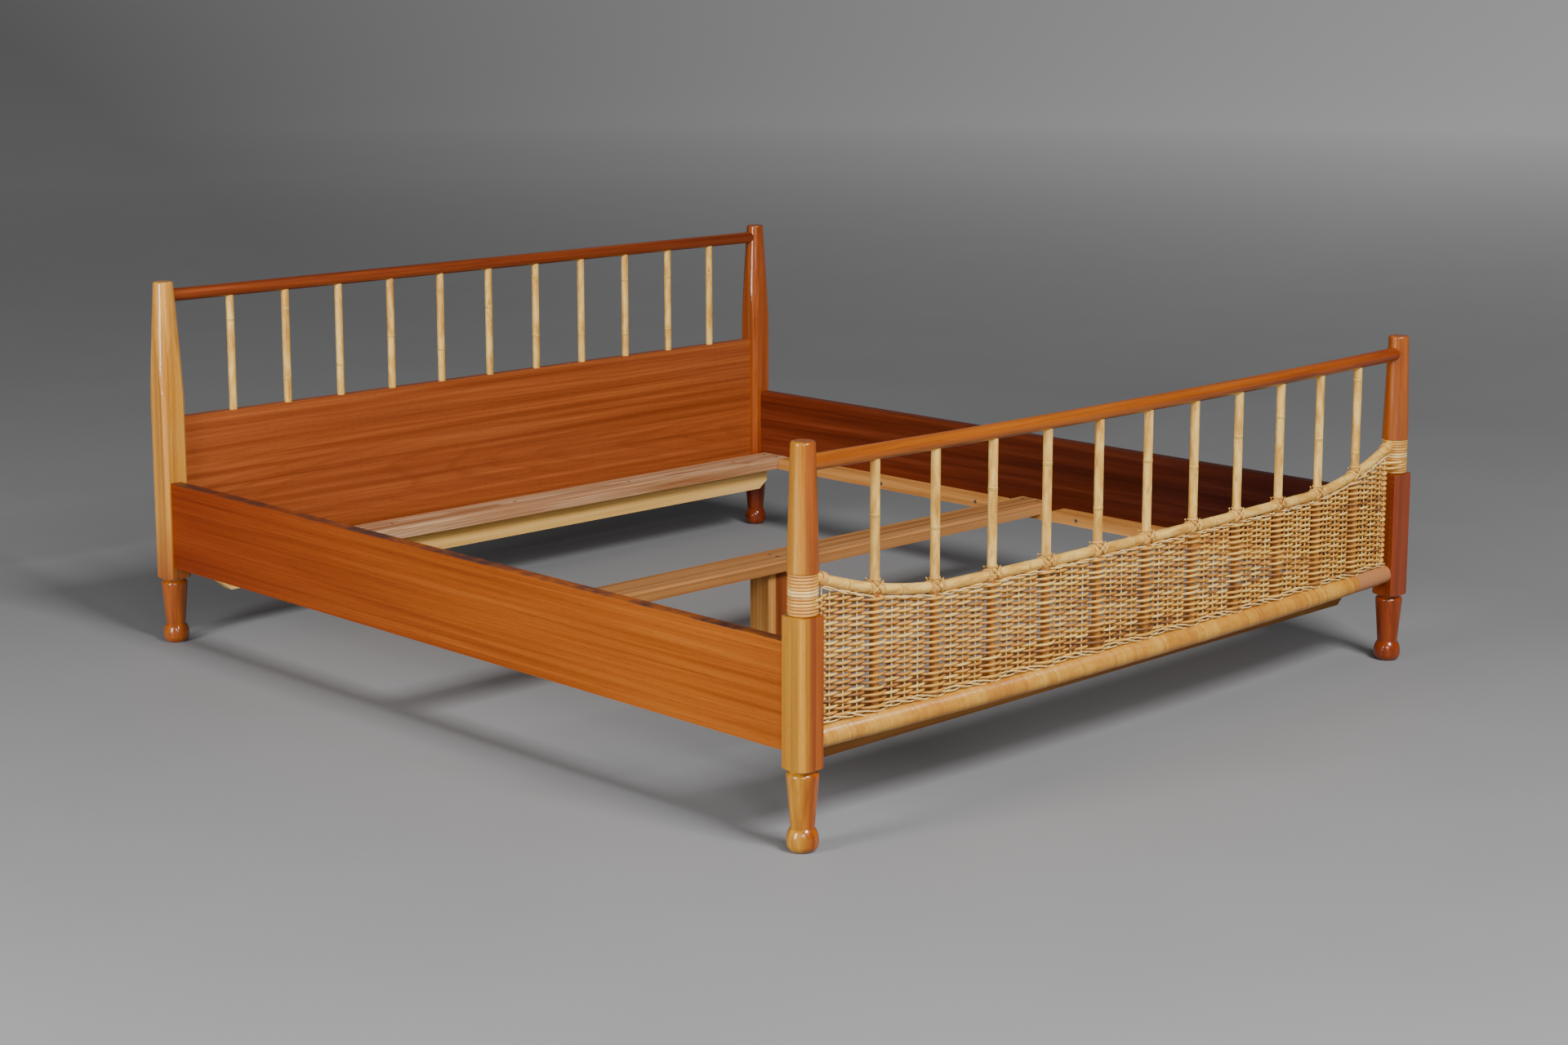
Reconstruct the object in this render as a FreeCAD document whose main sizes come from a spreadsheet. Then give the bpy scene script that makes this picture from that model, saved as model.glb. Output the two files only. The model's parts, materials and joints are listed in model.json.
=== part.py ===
import FreeCAD, Part
import math
import os
from types import SimpleNamespace

import Sketcher

# Double bed with turned posts, a spindled headboard and a bowed rattan and wicker footboard.
# Frame: X across the bed, Y along it with the head at +Y, Z up, floor at zero.
# The origin lies midway between the four posts. All lengths are in millimetres.

SIZES = {
    # Plan and heights, measured between and on the post centre lines
    "bed_width": 1862,
    "bed_length": 2055,
    "head_height": 838,
    "foot_height": 737,
    "foot_bow": 29,
    # Square section of a post with its chamfered corners
    "post_side": 60,
    "post_chamfer": 8,
    "block_bottom": 152,
    "foot_block_top": 429,
    "head_block_top": 568,
    "block_dome": 2,
    # Turned foot of a post
    "foot_pad_diameter": 40,
    "foot_ball_diameter": 58.5,
    "foot_ball_height": 17,
    "foot_ball_radius": 17,
    "foot_waist_diameter": 44,
    "foot_waist_height": 43,
    "foot_waist_radius": 34,
    "foot_shoulder_diameter": 59.5,
    "foot_shoulder_height": 136,
    "foot_shoulder_radius": 9,
    "foot_collar_diameter": 49,
    "foot_collar_height": 146,
    # Turned upper part of a post
    "neck_diameter": 45,
    "neck_top": 505,
    "upper_base_diameter": 58,
    "foot_tip_diameter": 45,
    "head_base_diameter": 75,
    "head_tip_diameter": 45,
    "head_taper_radius": 9000,
    "tip_round": 5,
    "edge_round": 1.5,
    "lathe_waste": 12,
    # Round top rails
    "top_rail_diameter": 30,
    "head_rail_height": 805,
    "foot_rail_height": 697,
    "top_rail_seat": 9,
    # Spindles
    "spindle_diameter": 18,
    "head_spindle_pitch": 151.4,
    "foot_spindle_pitch": 152,
    "spindle_tenon": 9,
    # Boarded panel of the headboard
    "panel_thickness": 24,
    "panel_bottom": 180,
    "panel_top": 524,
    "panel_tongue": 10,
    # Side rails
    "rail_bottom": 180,
    "rail_depth": 198,
    "rail_outer_offset": 18,
    "rail_inner_offset": 8,
    # Curved rattan rail
    "hoop_diameter": 20.4,
    "hoop_height": 426,
    "hoop_flat_half": 545,
    "hoop_bend_radius": 1005,
    "hoop_end_gap": 20,
    # Cane-wrapped roll along the bottom of the footboard
    "roll_height": 201,
    "roll_core_diameter": 39,
    "roll_wrap_thickness": 1.5,
    "roll_wrap_end_gap": 1.3,
    "roll_tenon": 10,
    # Wicker mat
    "wicker_thickness": 12,
    "wicker_web": 1.2,
    "wicker_row_pitch": 5.85,
    "wicker_first_row": 229.5,
    "wicker_stake_pitch": 33,
    "wicker_end_gap": 1,
    "wicker_hoop_gap": 3.6,
    "wicker_spindle_gap": 0.3,
    # Windings of cane
    "wrap_strand_diameter": 5.8,
    "wrap_pitch": 6.6,
    "wrap_seat_gap": 0.2,
    "band_height": 22,
    "lashing_strand_diameter": 2.6,
    "lashing_pitch": 3.2,
    "lashing_seat_gap": 0.3,
    "lashing_offset": 11,
    "hoop_end_lashing_offset": 16,
    # Ledgers along the side rails
    "ledger_width": 44,
    "ledger_height": 28,
    "notch_depth": 15,
    "notch_floor_half": 53,
    "notch_run": 38,
    "ledger_seat_clearance": 2,
    # Cross beams and the ribs under two of them
    "beam_width": 102,
    "beam_thickness": 27,
    "beam_edge_round": 6,
    "beam_end_clearance": 2,
    "end_beam_inset": 41,
    "rib_thickness": 27,
    "rib_height": 56,
    "rib_end_gap": 6,
    "rib_bevel_run": 27,
    "rib_bevel_rise": 21,
    # Leg under the middle beam
    "leg_core_width": 44,
    "leg_depth": 58,
    "leg_cheek_thickness": 24,
    # Rail fittings let into posts and rails
    "plate_width": 16,
    "plate_height": 130,
    "plate_thickness": 3,
    "hook_thickness": 4,
    "hook_length": 14,
    "hook_root": 22,
    "hook_lip": 6,
    "hook_lip_thickness": 4,
    "hook_spacing": 76,
    "hook_slot_clearance": 1,
    # Countersunk screws
    "screw_diameter": 5,
    "screw_head_diameter": 9.5,
    "screw_head_depth": 3.5,
    "ledger_screw_length": 60,
    "ledger_screw_spacing": 330,
    "beam_screw_length": 34,
    "beam_screw_spacing": 50,
    "beam_screw_inset": 24,
    "rib_screw_length": 60,
    "rib_screw_spacing": 380,
    "leg_screw_length": 70,
    "leg_screw_spacing": 26,
    # One overrun for every cutter that runs out through a face
    "overrun": 20,
}

SPINDLE_COUNT = 11
LEDGER_SCREW_COUNT = 6
RIB_SCREW_COUNT = 5
WRAP_TURNS = 6.5
LASHING_TURNS = 2
HOOP_END_TURNS = 4
BEND_ARCS = 3

LEFT = -1
RIGHT = 1
HEAD = 1
FOOT = -1

doc = FreeCAD.newDocument("double_bed")
parts = []


class Size:
    """A length, ratio or angle together with the sheet expression that gives it."""

    def __init__(self, value, text):
        self.value = value
        self.text = text

    def __add__(self, other):
        return join(self, "+", other, self.value + value_of(other))

    def __radd__(self, other):
        return join(other, "+", self, value_of(other) + self.value)

    def __sub__(self, other):
        return join(self, "-", other, self.value - value_of(other))

    def __rsub__(self, other):
        return join(other, "-", self, value_of(other) - self.value)

    def __mul__(self, other):
        return join(self, "*", other, self.value * value_of(other))

    def __rmul__(self, other):
        return join(other, "*", self, value_of(other) * self.value)

    def __truediv__(self, other):
        return join(self, "/", other, self.value / value_of(other))

    def __neg__(self):
        return join(-1, "*", self, -self.value)


def value_of(item):
    return item.value if isinstance(item, Size) else item


def text_of(item):
    return item.text if isinstance(item, Size) else repr(item)


def join(left, sign, right, value):
    return Size(value, "(%s %s %s)" % (text_of(left), sign, text_of(right)))


def square_root(item):
    return Size(math.sqrt(item.value), "sqrt(%s)" % item.text)


def make_sheet():
    """Put every driving size in a spreadsheet cell under its own name."""
    sheet = doc.addObject("Spreadsheet::Sheet", "Sizes")
    for row, (alias, value) in enumerate(SIZES.items(), start=1):
        sheet.set("A%d" % row, alias)
        sheet.set("B%d" % row, str(value))
        sheet.setAlias("B%d" % row, alias)
    doc.recompute()
    return SimpleNamespace(**{alias: Size(float(value), "Sizes." + alias) for alias, value in SIZES.items()})


size = make_sheet()


# Derived sizes that several pieces share
half_width = size.bed_width / 2
half_length = size.bed_length / 2
post_half = size.post_side / 2
bow_radius = (half_width * half_width + size.foot_bow * size.foot_bow) / (2 * size.foot_bow)
bow_centre_y = bow_radius - half_length - size.foot_bow
rail_top = size.rail_bottom + size.rail_depth
rail_inner_x = half_width - size.rail_inner_offset
rail_half_length = half_length - post_half
ledger_top = size.rail_bottom + size.ledger_height
ledger_inner_x = rail_inner_x - size.ledger_width
notch_floor = ledger_top - size.notch_depth
roll_radius = size.roll_core_diameter / 2 + size.roll_wrap_thickness
wrap_top = size.neck_top - size.band_height
end_beam_y = half_length - size.end_beam_inset - size.beam_width / 2
end_beam_bottom = ledger_top - size.beam_thickness
middle_beam_top = notch_floor + size.beam_thickness
beam_half_length = rail_inner_x - size.beam_end_clearance
foot_bay = size.foot_spindle_pitch
head_bay = size.head_spindle_pitch


def bowed_y(x):
    """Y of the footboard's middle surface at a distance x from the bed's centre line."""
    if isinstance(x, Size):
        return bow_centre_y - square_root(bow_radius * bow_radius - x * x)
    return bow_centre_y.value - math.sqrt(bow_radius.value ** 2 - x ** 2)


# Helpers that bind objects to the sheet

def bind(thing, path, item):
    if isinstance(item, Size):
        thing.setExpression(path, item.text)


def place(thing, x, y, z, rotation=None):
    base = FreeCAD.Vector(value_of(x), value_of(y), value_of(z))
    thing.Placement = FreeCAD.Placement(base, rotation or FreeCAD.Rotation())
    for axis, item in zip("xyz", (x, y, z)):
        bind(thing, "Placement.Base." + axis, item)
    return thing


def keep(thing, label):
    """Name a finished piece and add it to the list of pieces to write."""
    thing.Label = label
    parts.append(thing)
    return thing


def make_box(name, corner, lengths):
    box = doc.addObject("Part::Box", name)
    for prop, item in zip(("Length", "Width", "Height"), lengths):
        setattr(box, prop, value_of(item))
        bind(box, prop, item)
    return place(box, *corner)


def make_cylinder(name, diameter, height, base, rotation=None):
    cylinder = doc.addObject("Part::Cylinder", name)
    radius = diameter / 2
    cylinder.Radius = value_of(radius)
    cylinder.Height = value_of(height)
    bind(cylinder, "Radius", radius)
    bind(cylinder, "Height", height)
    return place(cylinder, *base, rotation=rotation)


def make_cone(name, base_diameter, top_diameter, height, base, rotation=None):
    cone = doc.addObject("Part::Cone", name)
    for prop, item in (("Radius1", base_diameter / 2), ("Radius2", top_diameter / 2), ("Height", height)):
        setattr(cone, prop, value_of(item))
        bind(cone, prop, item)
    return place(cone, *base, rotation=rotation)


def gather(name, things):
    group = doc.addObject("Part::Compound", name)
    group.Links = things
    return group


def fuse(name, things):
    union = doc.addObject("Part::MultiFuse", name)
    union.Shapes = things
    return union


def cut(name, base, *groups):
    """Cut groups of tools one after another; the tools in a group keep clear of each other."""
    result = base
    for number, tools in enumerate(groups, start=1):
        step = doc.addObject("Part::Cut", "%s_%d" % (name, number))
        step.Base = result
        step.Tool = tools[0] if len(tools) == 1 else gather("%s_tools_%d" % (name, number), tools)
        step.Refine = False
        result = step
    return result


def fixed_shape(name, shape):
    feature = doc.addObject("Part::Feature", name)
    feature.Shape = shape
    return feature


def start_body(name):
    return doc.addObject("PartDesign::Body", name)


def start_sketch(body, role, name):
    sketch = body.newObject("Sketcher::SketchObject", name)
    plane = next(item for item in body.Origin.OriginFeatures if item.Role == role)
    sketch.AttachmentSupport = (plane, [""])
    sketch.MapMode = "FlatFace"
    return sketch


def flat_point(point):
    return FreeCAD.Vector(value_of(point[0]), value_of(point[1]), 0)


def arc_between(start, end, radius):
    """Minor arc from start to end; a positive radius bulges to the left of the way."""
    chord = end - start
    middle = (start + end) / 2
    left = FreeCAD.Vector(-chord.y, chord.x, 0).normalize()
    rise = abs(radius) - math.sqrt(radius * radius - chord.Length ** 2 / 4)
    return Part.Arc(start, middle + left * math.copysign(rise, radius), end)


def fix_point(sketch, geometry, vertex, point):
    for kind, path, item in zip(("DistanceX", "DistanceY"), "xy", point[:2]):
        index = sketch.addConstraint(Sketcher.Constraint(kind, -1, 1, geometry, vertex, value_of(item)))
        sketch.renameConstraint(index, "%s%d_%d" % (path, geometry, vertex))
        bind(sketch, "Constraints.%s%d_%d" % (path, geometry, vertex), item)


def draw_outline(sketch, points):
    """Closed outline; a point with a third entry is reached along an arc of that signed radius."""
    first = sketch.GeometryCount
    ends = []
    for index, point in enumerate(points):
        following = points[(index + 1) % len(points)]
        start, end = flat_point(point), flat_point(following)
        radius = following[2] if len(following) > 2 else None
        if radius is None:
            curve = Part.LineSegment(start, end)
        else:
            curve = arc_between(start, end, value_of(radius))
        geometry = sketch.addGeometry(curve, False)
        made_start, made_end = sketch.getPoint(geometry, 1), sketch.getPoint(geometry, 2)
        forward = made_start.distanceToPoint(start) < made_end.distanceToPoint(start)
        ends.append((1, 2) if forward else (2, 1))
        if radius is not None:
            name = "radius%d" % geometry
            magnitude = radius if value_of(radius) > 0 else -radius
            number = sketch.addConstraint(Sketcher.Constraint("Radius", geometry, value_of(magnitude)))
            sketch.renameConstraint(number, name)
            bind(sketch, "Constraints." + name, magnitude)
    for index, point in enumerate(points):
        geometry = first + index
        before = first + (index - 1) % len(points)
        sketch.addConstraint(
            Sketcher.Constraint("Coincident", before, ends[index - 1][1], geometry, ends[index][0])
        )
        fix_point(sketch, geometry, ends[index][0], point)


def pad_outline(body, role, points, length, name):
    """Pad a closed outline by half the length to each side of its plane."""
    sketch = start_sketch(body, role, name + "_sketch")
    draw_outline(sketch, points)
    pad = body.newObject("PartDesign::Pad", name)
    pad.Profile = sketch
    pad.SideType = "Symmetric"
    pad.Length = value_of(length)
    bind(pad, "Length", length)
    return pad


def groove_outline(body, points, name):
    """Turn the waste outline away round the body's own vertical axis."""
    sketch = start_sketch(body, "XZ_Plane", name + "_sketch")
    draw_outline(sketch, points)
    groove = body.newObject("PartDesign::Groove", name)
    groove.Profile = sketch
    groove.ReferenceAxis = (sketch, ["V_Axis"])
    groove.Angle = 360
    return groove


# Curved paths of arcs, for the bent rattan rail and the windings

def arc_from_corner(start, corner, end):
    middle = (start + end) / 2
    half_chord = (end - start).Length / 2
    depth = (corner - middle).Length
    if depth < 1e-7:
        return Part.LineSegment(start, end).toShape()
    radius = (corner - start).Length * half_chord / depth
    rise = radius - math.sqrt(max(radius * radius - half_chord * half_chord, 0))
    return Part.Arc(start, middle + (corner - middle) * (rise / depth), end).toShape()


def biarc(start, start_way, end, end_way):
    """Two arcs that join smoothly and leave both ends along the given directions."""
    chord = end - start
    ways = start_way + end_way
    spread = 2 * (1 - start_way.dot(end_way))
    along = chord.dot(ways)
    if spread < 1e-9:
        reach = chord.dot(chord) / (2 * along)
    else:
        reach = (math.sqrt(along * along + spread * chord.dot(chord)) - along) / spread
    first = start + start_way * reach
    second = end - end_way * reach
    joint = (first + second) / 2
    return [arc_from_corner(start, first, joint), arc_from_corner(joint, second, end)]


def pipe_along(points, ways, diameter, straight_ends=False):
    """Round tube along a chain of biarcs through the points."""
    edges = []
    if straight_ends:
        edges.append(Part.LineSegment(points[0] - ways[0] * diameter, points[0]).toShape())
    for index in range(len(points) - 1):
        edges += biarc(points[index], ways[index], points[index + 1], ways[index + 1])
    if straight_ends:
        edges.append(Part.LineSegment(points[-1], points[-1] + ways[-1] * diameter).toShape())
    start = edges[0].valueAt(edges[0].FirstParameter)
    circle = Part.Wire([Part.makeCircle(diameter / 2, start, ways[0])])
    return Part.Wire(edges).makePipeShell([circle], True, False)


def helix_points(radius, pitch, turns, quarters=4):
    """Points and directions on a helix about the local Z axis, centred on its middle height."""
    points, ways = [], []
    steps = int(round(turns * quarters))
    for step in range(steps + 1):
        angle = 2 * math.pi * step / quarters
        height = pitch * (step / quarters - turns / 2)
        points.append(FreeCAD.Vector(radius * math.cos(angle), radius * math.sin(angle), height))
        way = FreeCAD.Vector(-radius * math.sin(angle), radius * math.cos(angle), pitch / (2 * math.pi))
        ways.append(way.normalize())
    return points, ways


def least_self_gap(radius, pitch, turns, diameter, samples=72):
    """Clear distance between neighbouring turns, measured on sampled points of the helix."""
    count = int(round(turns * samples))
    dots = []
    for step in range(count + 1):
        angle = 2 * math.pi * step / samples
        along = pitch * step / samples
        dots.append(FreeCAD.Vector(radius * math.cos(angle), radius * math.sin(angle), along))
    least = min(
        dots[low].distanceToPoint(dots[high])
        for low in range(0, count + 1, 2)
        for high in range(low + samples // 2, count + 1)
    )
    return least - diameter


def winding(radius, pitch, turns, diameter):
    points, ways = helix_points(radius, pitch, turns)
    return pipe_along(points, ways, diameter, straight_ends=True)


def aim(shape, centre, axis):
    """Move a shape made about the local Z axis to a centre and turn that axis."""
    turn = FreeCAD.Rotation(FreeCAD.Vector(0, 0, 1), axis)
    moved = shape.copy()
    moved.Placement = FreeCAD.Placement(centre, turn).multiply(moved.Placement)
    return moved


# Posts

def blank_corners():
    inner = post_half - size.post_chamfer
    return [
        (post_half, -inner), (post_half, inner), (inner, post_half), (-inner, post_half),
        (-post_half, inner), (-post_half, -inner), (-inner, -post_half), (inner, -post_half),
    ]


def foot_waste():
    """Outline of what the lathe takes off below the square block."""
    waste = post_half + size.lathe_waste
    return [
        (waste, -size.overrun),
        (size.foot_pad_diameter / 2, -size.overrun),
        (size.foot_pad_diameter / 2, 0),
        (size.foot_ball_diameter / 2, size.foot_ball_height, -size.foot_ball_radius),
        (size.foot_waist_diameter / 2, size.foot_waist_height, -size.foot_waist_radius),
        (size.foot_shoulder_diameter / 2, size.foot_shoulder_height),
        (size.foot_collar_diameter / 2, size.foot_collar_height, -size.foot_shoulder_radius),
        (size.foot_collar_diameter / 2, size.block_bottom - size.block_dome),
        (waste, size.block_bottom + size.block_dome),
    ]


def foot_post_waste():
    """Outline of what the lathe takes off above a foot post's block."""
    waste = post_half + size.lathe_waste
    neck = size.neck_diameter / 2
    base = size.upper_base_diameter / 2
    tip = size.foot_tip_diameter / 2
    return [
        (waste, size.foot_block_top - size.block_dome),
        (waste, size.foot_height + size.overrun),
        (tip - size.tip_round, size.foot_height + size.overrun),
        (tip - size.tip_round, size.foot_height),
        (tip, size.foot_height - size.tip_round, size.tip_round),
        (base, size.neck_top + size.edge_round),
        (base - size.edge_round, size.neck_top, size.edge_round),
        (neck, size.neck_top),
        (neck, size.foot_block_top),
    ]


def head_post_waste():
    """Outline of what the lathe takes off above a head post's block."""
    waste = post_half + size.lathe_waste
    base = size.head_base_diameter / 2
    tip = size.head_tip_diameter / 2
    return [
        (waste, size.head_block_top - size.lathe_waste),
        (waste, size.head_height + size.overrun),
        (tip - size.tip_round, size.head_height + size.overrun),
        (tip - size.tip_round, size.head_height),
        (tip, size.head_height - size.tip_round, size.tip_round),
        (base, size.head_block_top, size.head_taper_radius),
    ]


def turned_post(name, height, upper_waste, side, end):
    """Chamfered square blank whose ends are turned, standing on its place in the plan."""
    body = start_body(name)
    sketch = start_sketch(body, "XY_Plane", name + "_blank_sketch")
    draw_outline(sketch, blank_corners())
    blank = body.newObject("PartDesign::Pad", name + "_blank")
    blank.Profile = sketch
    blank.Length = height.value
    bind(blank, "Length", height)
    groove_outline(body, foot_waste(), name + "_foot_turning")
    groove_outline(body, upper_waste, name + "_top_turning")
    return place(body, side * half_width, end * half_length, 0)


# Rail fittings

def fitting_height():
    return size.rail_bottom + size.rail_depth / 2


def fitting_x(side):
    return side * (half_width + (size.rail_outer_offset - size.rail_inner_offset) / 2)


def y_span(end, near, far):
    """Corner and length of a span that lies from near to far away from the bed's middle."""
    return (near if end == HEAD else -far), far - near


def plate_box(name, side, end, inward):
    """Plate let into a rail's end face or, with inward false, into the post's face."""
    face = rail_half_length
    near = face - size.plate_thickness if inward else face
    start, span = y_span(end, near, near + size.plate_thickness)
    corner = (fitting_x(side) - size.plate_width / 2, start, fitting_height() - size.plate_height / 2)
    return make_box(name, corner, (size.plate_width, span, size.plate_height))


def hook_boxes(name, side, end, slack):
    """The two hooks of a rail end; slack grows them on all sides to give their mortises."""
    boxes = []
    reach = size.hook_length + slack
    thickness = size.hook_thickness + 2 * slack
    for step in (-1, 1):
        foot = fitting_height() + step * size.hook_spacing / 2 - size.hook_root / 2
        start, span = y_span(end, rail_half_length, rail_half_length + reach)
        corner = (fitting_x(side) - thickness / 2, start, foot - slack)
        extent = (thickness, span, size.hook_root + 2 * slack)
        boxes.append(make_box("%s_root_%d" % (name, step + 1), corner, extent))
        lip_near = rail_half_length + size.hook_length - size.hook_lip_thickness - slack
        start, span = y_span(end, lip_near, rail_half_length + reach)
        corner = (fitting_x(side) - thickness / 2, start, foot - size.hook_lip - slack)
        extent = (thickness, span, size.hook_lip + 2 * slack)
        boxes.append(make_box("%s_lip_%d" % (name, step + 1), corner, extent))
    return boxes


def corner_name(side, end):
    return "%s_%s" % ("head" if end == HEAD else "foot", "left" if side == LEFT else "right")


def hook_plate(side, end):
    name = "hook_plate_" + corner_name(side, end)
    return fuse(name, [plate_box(name + "_plate", side, end, True)] + hook_boxes(name, side, end, 0))


def strike_plate(side, end):
    name = "strike_plate_" + corner_name(side, end)
    plate = plate_box(name + "_blank", side, end, False)
    return cut(name, plate, mortises(name + "_slots", side, end))


def mortises(name, side, end):
    """Room for the hooks, tall enough for them to drop behind the plate."""
    boxes = []
    slack = size.hook_slot_clearance
    for step in (-1, 1):
        foot = fitting_height() + step * size.hook_spacing / 2 - size.hook_root / 2 - size.hook_lip
        start, span = y_span(end, rail_half_length, rail_half_length + size.hook_length + slack)
        width = size.hook_thickness + 2 * slack
        height = size.hook_root + size.hook_lip + 2 * slack
        corner = (fitting_x(side) - width / 2, start, foot - slack)
        boxes.append(make_box("%s_%d" % (name, step + 1), corner, (width, span, height)))
    return boxes


# Screws

def screw(name, head_centre, rotation, way, length):
    """Countersunk screw whose head is flush at head_centre and whose shank runs along way."""
    shank_base = [centre + step * size.screw_head_depth for centre, step in zip(head_centre, way)]
    head = make_cone(
        name + "_head", size.screw_head_diameter, size.screw_diameter, size.screw_head_depth,
        head_centre, rotation,
    )
    shank = make_cylinder(
        name + "_shank", size.screw_diameter, length - size.screw_head_depth, shank_base, rotation
    )
    return fuse(name, [head, shank])


def turned_to(way):
    return FreeCAD.Rotation(FreeCAD.Vector(0, 0, 1), FreeCAD.Vector(*way))


def ledger_screws(side):
    way = (side, 0, 0)
    things = []
    for index in range(LEDGER_SCREW_COUNT):
        place_y = (index - (LEDGER_SCREW_COUNT - 1) / 2) * size.ledger_screw_spacing
        head = (side * ledger_inner_x, place_y, size.rail_bottom + size.ledger_height / 2)
        name = "ledger_screw_%d_%d" % (side + 1, index)
        things.append(screw(name, head, turned_to(way), way, size.ledger_screw_length))
    return things


def beam_screws(name, centre_y, top, length):
    """Four screws that hold a beam's two ends down to the ledgers."""
    way = (0, 0, -1)
    things = []
    for side in (LEFT, RIGHT):
        for step in (-1, 1):
            head = (
                side * (rail_inner_x - size.beam_screw_inset),
                centre_y + step * size.beam_screw_spacing / 2,
                top,
            )
            things.append(screw("%s_%d_%d" % (name, side + 1, step + 1), head, turned_to(way), way, length))
    return things


def rib_screws(name, centre_y):
    way = (0, 0, -1)
    things = []
    for index in range(RIB_SCREW_COUNT):
        head = ((index - (RIB_SCREW_COUNT - 1) / 2) * size.rib_screw_spacing, centre_y, ledger_top)
        things.append(screw("%s_%d" % (name, index), head, turned_to(way), way, size.rib_screw_length))
    return things


def leg_screws():
    way = (0, 0, -1)
    things = []
    for step in (-1, 1):
        head = (0, step * size.leg_screw_spacing / 2, middle_beam_top)
        things.append(screw("leg_screw_%d" % (step + 1), head, turned_to(way), way, size.leg_screw_length))
    return things


# Footboard

def spindle_x(index, pitch):
    return (index - (SPINDLE_COUNT - 1) / 2) * pitch


def hoop_rise(x):
    """Height of the curved rail's centre line at x, level in the middle and swept up at the ends."""
    past = max(abs(x) - size.hoop_flat_half.value, 0)
    bend = size.hoop_bend_radius.value
    return size.hoop_height.value + bend - math.sqrt(bend * bend - past * past)


def hoop_slope(x):
    past = max(abs(x) - size.hoop_flat_half.value, 0)
    bend = size.hoop_bend_radius.value
    return math.copysign(past / math.sqrt(bend * bend - past * past), x)


def hoop_point(x):
    return FreeCAD.Vector(x, bowed_y(x), hoop_rise(x))


def hoop_way(x):
    lean = x / math.sqrt(bow_radius.value ** 2 - x ** 2)
    return FreeCAD.Vector(1, lean, hoop_slope(x)).normalize()


def hoop_stations():
    """Places along the curved rail where its arcs meet."""
    flat = size.hoop_flat_half.value
    end = half_width.value - size.hoop_end_gap.value
    bend = [flat + (end - flat) * step / BEND_ARCS for step in range(BEND_ARCS + 1)]
    return [-x for x in reversed(bend)] + [0] + bend


def hoop_tube(diameter):
    stations = hoop_stations()
    return pipe_along([hoop_point(x) for x in stations], [hoop_way(x) for x in stations], diameter)


def level_tube(name, half_span, height, diameter):
    """Tube at one height that follows the footboard's bow."""
    end = half_span.value
    start, middle, finish = (
        FreeCAD.Vector(x, bowed_y(x), height.value) for x in (-end, 0, end)
    )
    lean = end / math.sqrt(bow_radius.value ** 2 - end ** 2)
    circle = Part.Wire([Part.makeCircle(diameter.value / 2, start, FreeCAD.Vector(1, -lean, 0))])
    path = Part.Wire([Part.Arc(start, middle, finish).toShape()])
    return fixed_shape(name, path.makePipeShell([circle], True, False))


def wicker_lanes():
    """Edges of the mat's lanes, one lane to a stake, in each bay between two uprights."""
    reach = (half_width - post_half - size.wicker_end_gap).value
    bay = foot_bay.value
    gap = (size.spindle_diameter / 2 + size.wicker_spindle_gap).value
    lane = size.wicker_stake_pitch.value / 2
    bays = []
    for index in range(-1, SPINDLE_COUNT):
        start = spindle_x(index, foot_bay).value
        low = max(start + gap, -reach)
        high = min(start + bay - gap, reach)
        bays.append([low, start + bay / 2 - lane, start + bay / 2 + lane, high])
    return bays


def woven_lane(near, far, step):
    """Part of the mat at one stake, where the rows pass by turns in front and behind."""
    half = size.wicker_thickness.value / 2
    web = size.wicker_web.value / 2
    pitch = size.wicker_row_pitch.value
    foot = size.wicker_first_row.value
    rows = math.ceil((max(hoop_rise(near), hoop_rise(far)) - foot) / pitch) + 1
    front, back = [], []
    for row in range(rows):
        height = foot + (row + 0.5) * pitch
        ahead = (row + step) % 2 == 0
        front.append((-half if ahead else -web, height))
        back.append((web if ahead else half, height))
    top = foot + rows * pitch
    bottom = [(half, size.roll_height.value), (-half, size.roll_height.value), (-half, foot)]
    outline = bottom + front + [(-half / 2, top), (half / 2, top)] + back[::-1] + [(half, foot)]
    corners = [FreeCAD.Vector(near, bowed_y(near) + y, z) for y, z in outline]
    face = Part.Face(Part.makePolygon(corners + corners[:1]))
    return face.extrude(FreeCAD.Vector(far - near, bowed_y(far) - bowed_y(near), 0))


def wicker_mat():
    bays = []
    for edges in wicker_lanes():
        lanes = [woven_lane(near, far, step) for step, (near, far) in enumerate(zip(edges, edges[1:]))]
        bays += lanes[0].multiFuse(lanes[1:]).Solids
    return Part.makeCompound(bays)


def above_wicker():
    """Slab that trims the mat to the curved rail's sweep, a little below the rail."""
    room = size.hoop_diameter.value / 2 + size.wicker_hoop_gap.value
    end = half_width.value
    high = size.foot_height.value
    stations = [-end] + [x for edges in wicker_lanes() for x in edges] + [end]
    outline = [(x, hoop_rise(x) - room) for x in stations] + [(end, high), (-end, high)]
    near = -half_length.value - size.foot_bow.value - size.overrun.value
    corners = [FreeCAD.Vector(x, near, z) for x, z in outline]
    face = Part.Face(Part.makePolygon(corners + corners[:1]))
    return face.extrude(FreeCAD.Vector(0, size.foot_bow.value + 2 * size.overrun.value, 0))


def lashing_radius():
    return (size.hoop_diameter.value + size.lashing_strand_diameter.value) / 2 + size.lashing_seat_gap.value


def place_lashing(turns, x):
    coil = winding(lashing_radius(), size.lashing_pitch.value, turns, size.lashing_strand_diameter.value)
    return aim(coil, hoop_point(x), hoop_way(x))


def lashing_half_length(turns):
    return turns * size.lashing_pitch.value / 2


def spindle_lashings():
    reach = size.lashing_offset.value + lashing_half_length(LASHING_TURNS)
    coils = []
    for index in range(SPINDLE_COUNT):
        x = spindle_x(index, foot_bay).value
        coils += [place_lashing(LASHING_TURNS, x + step * reach) for step in (-1, 1)]
    return Part.makeCompound(coils)


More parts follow.
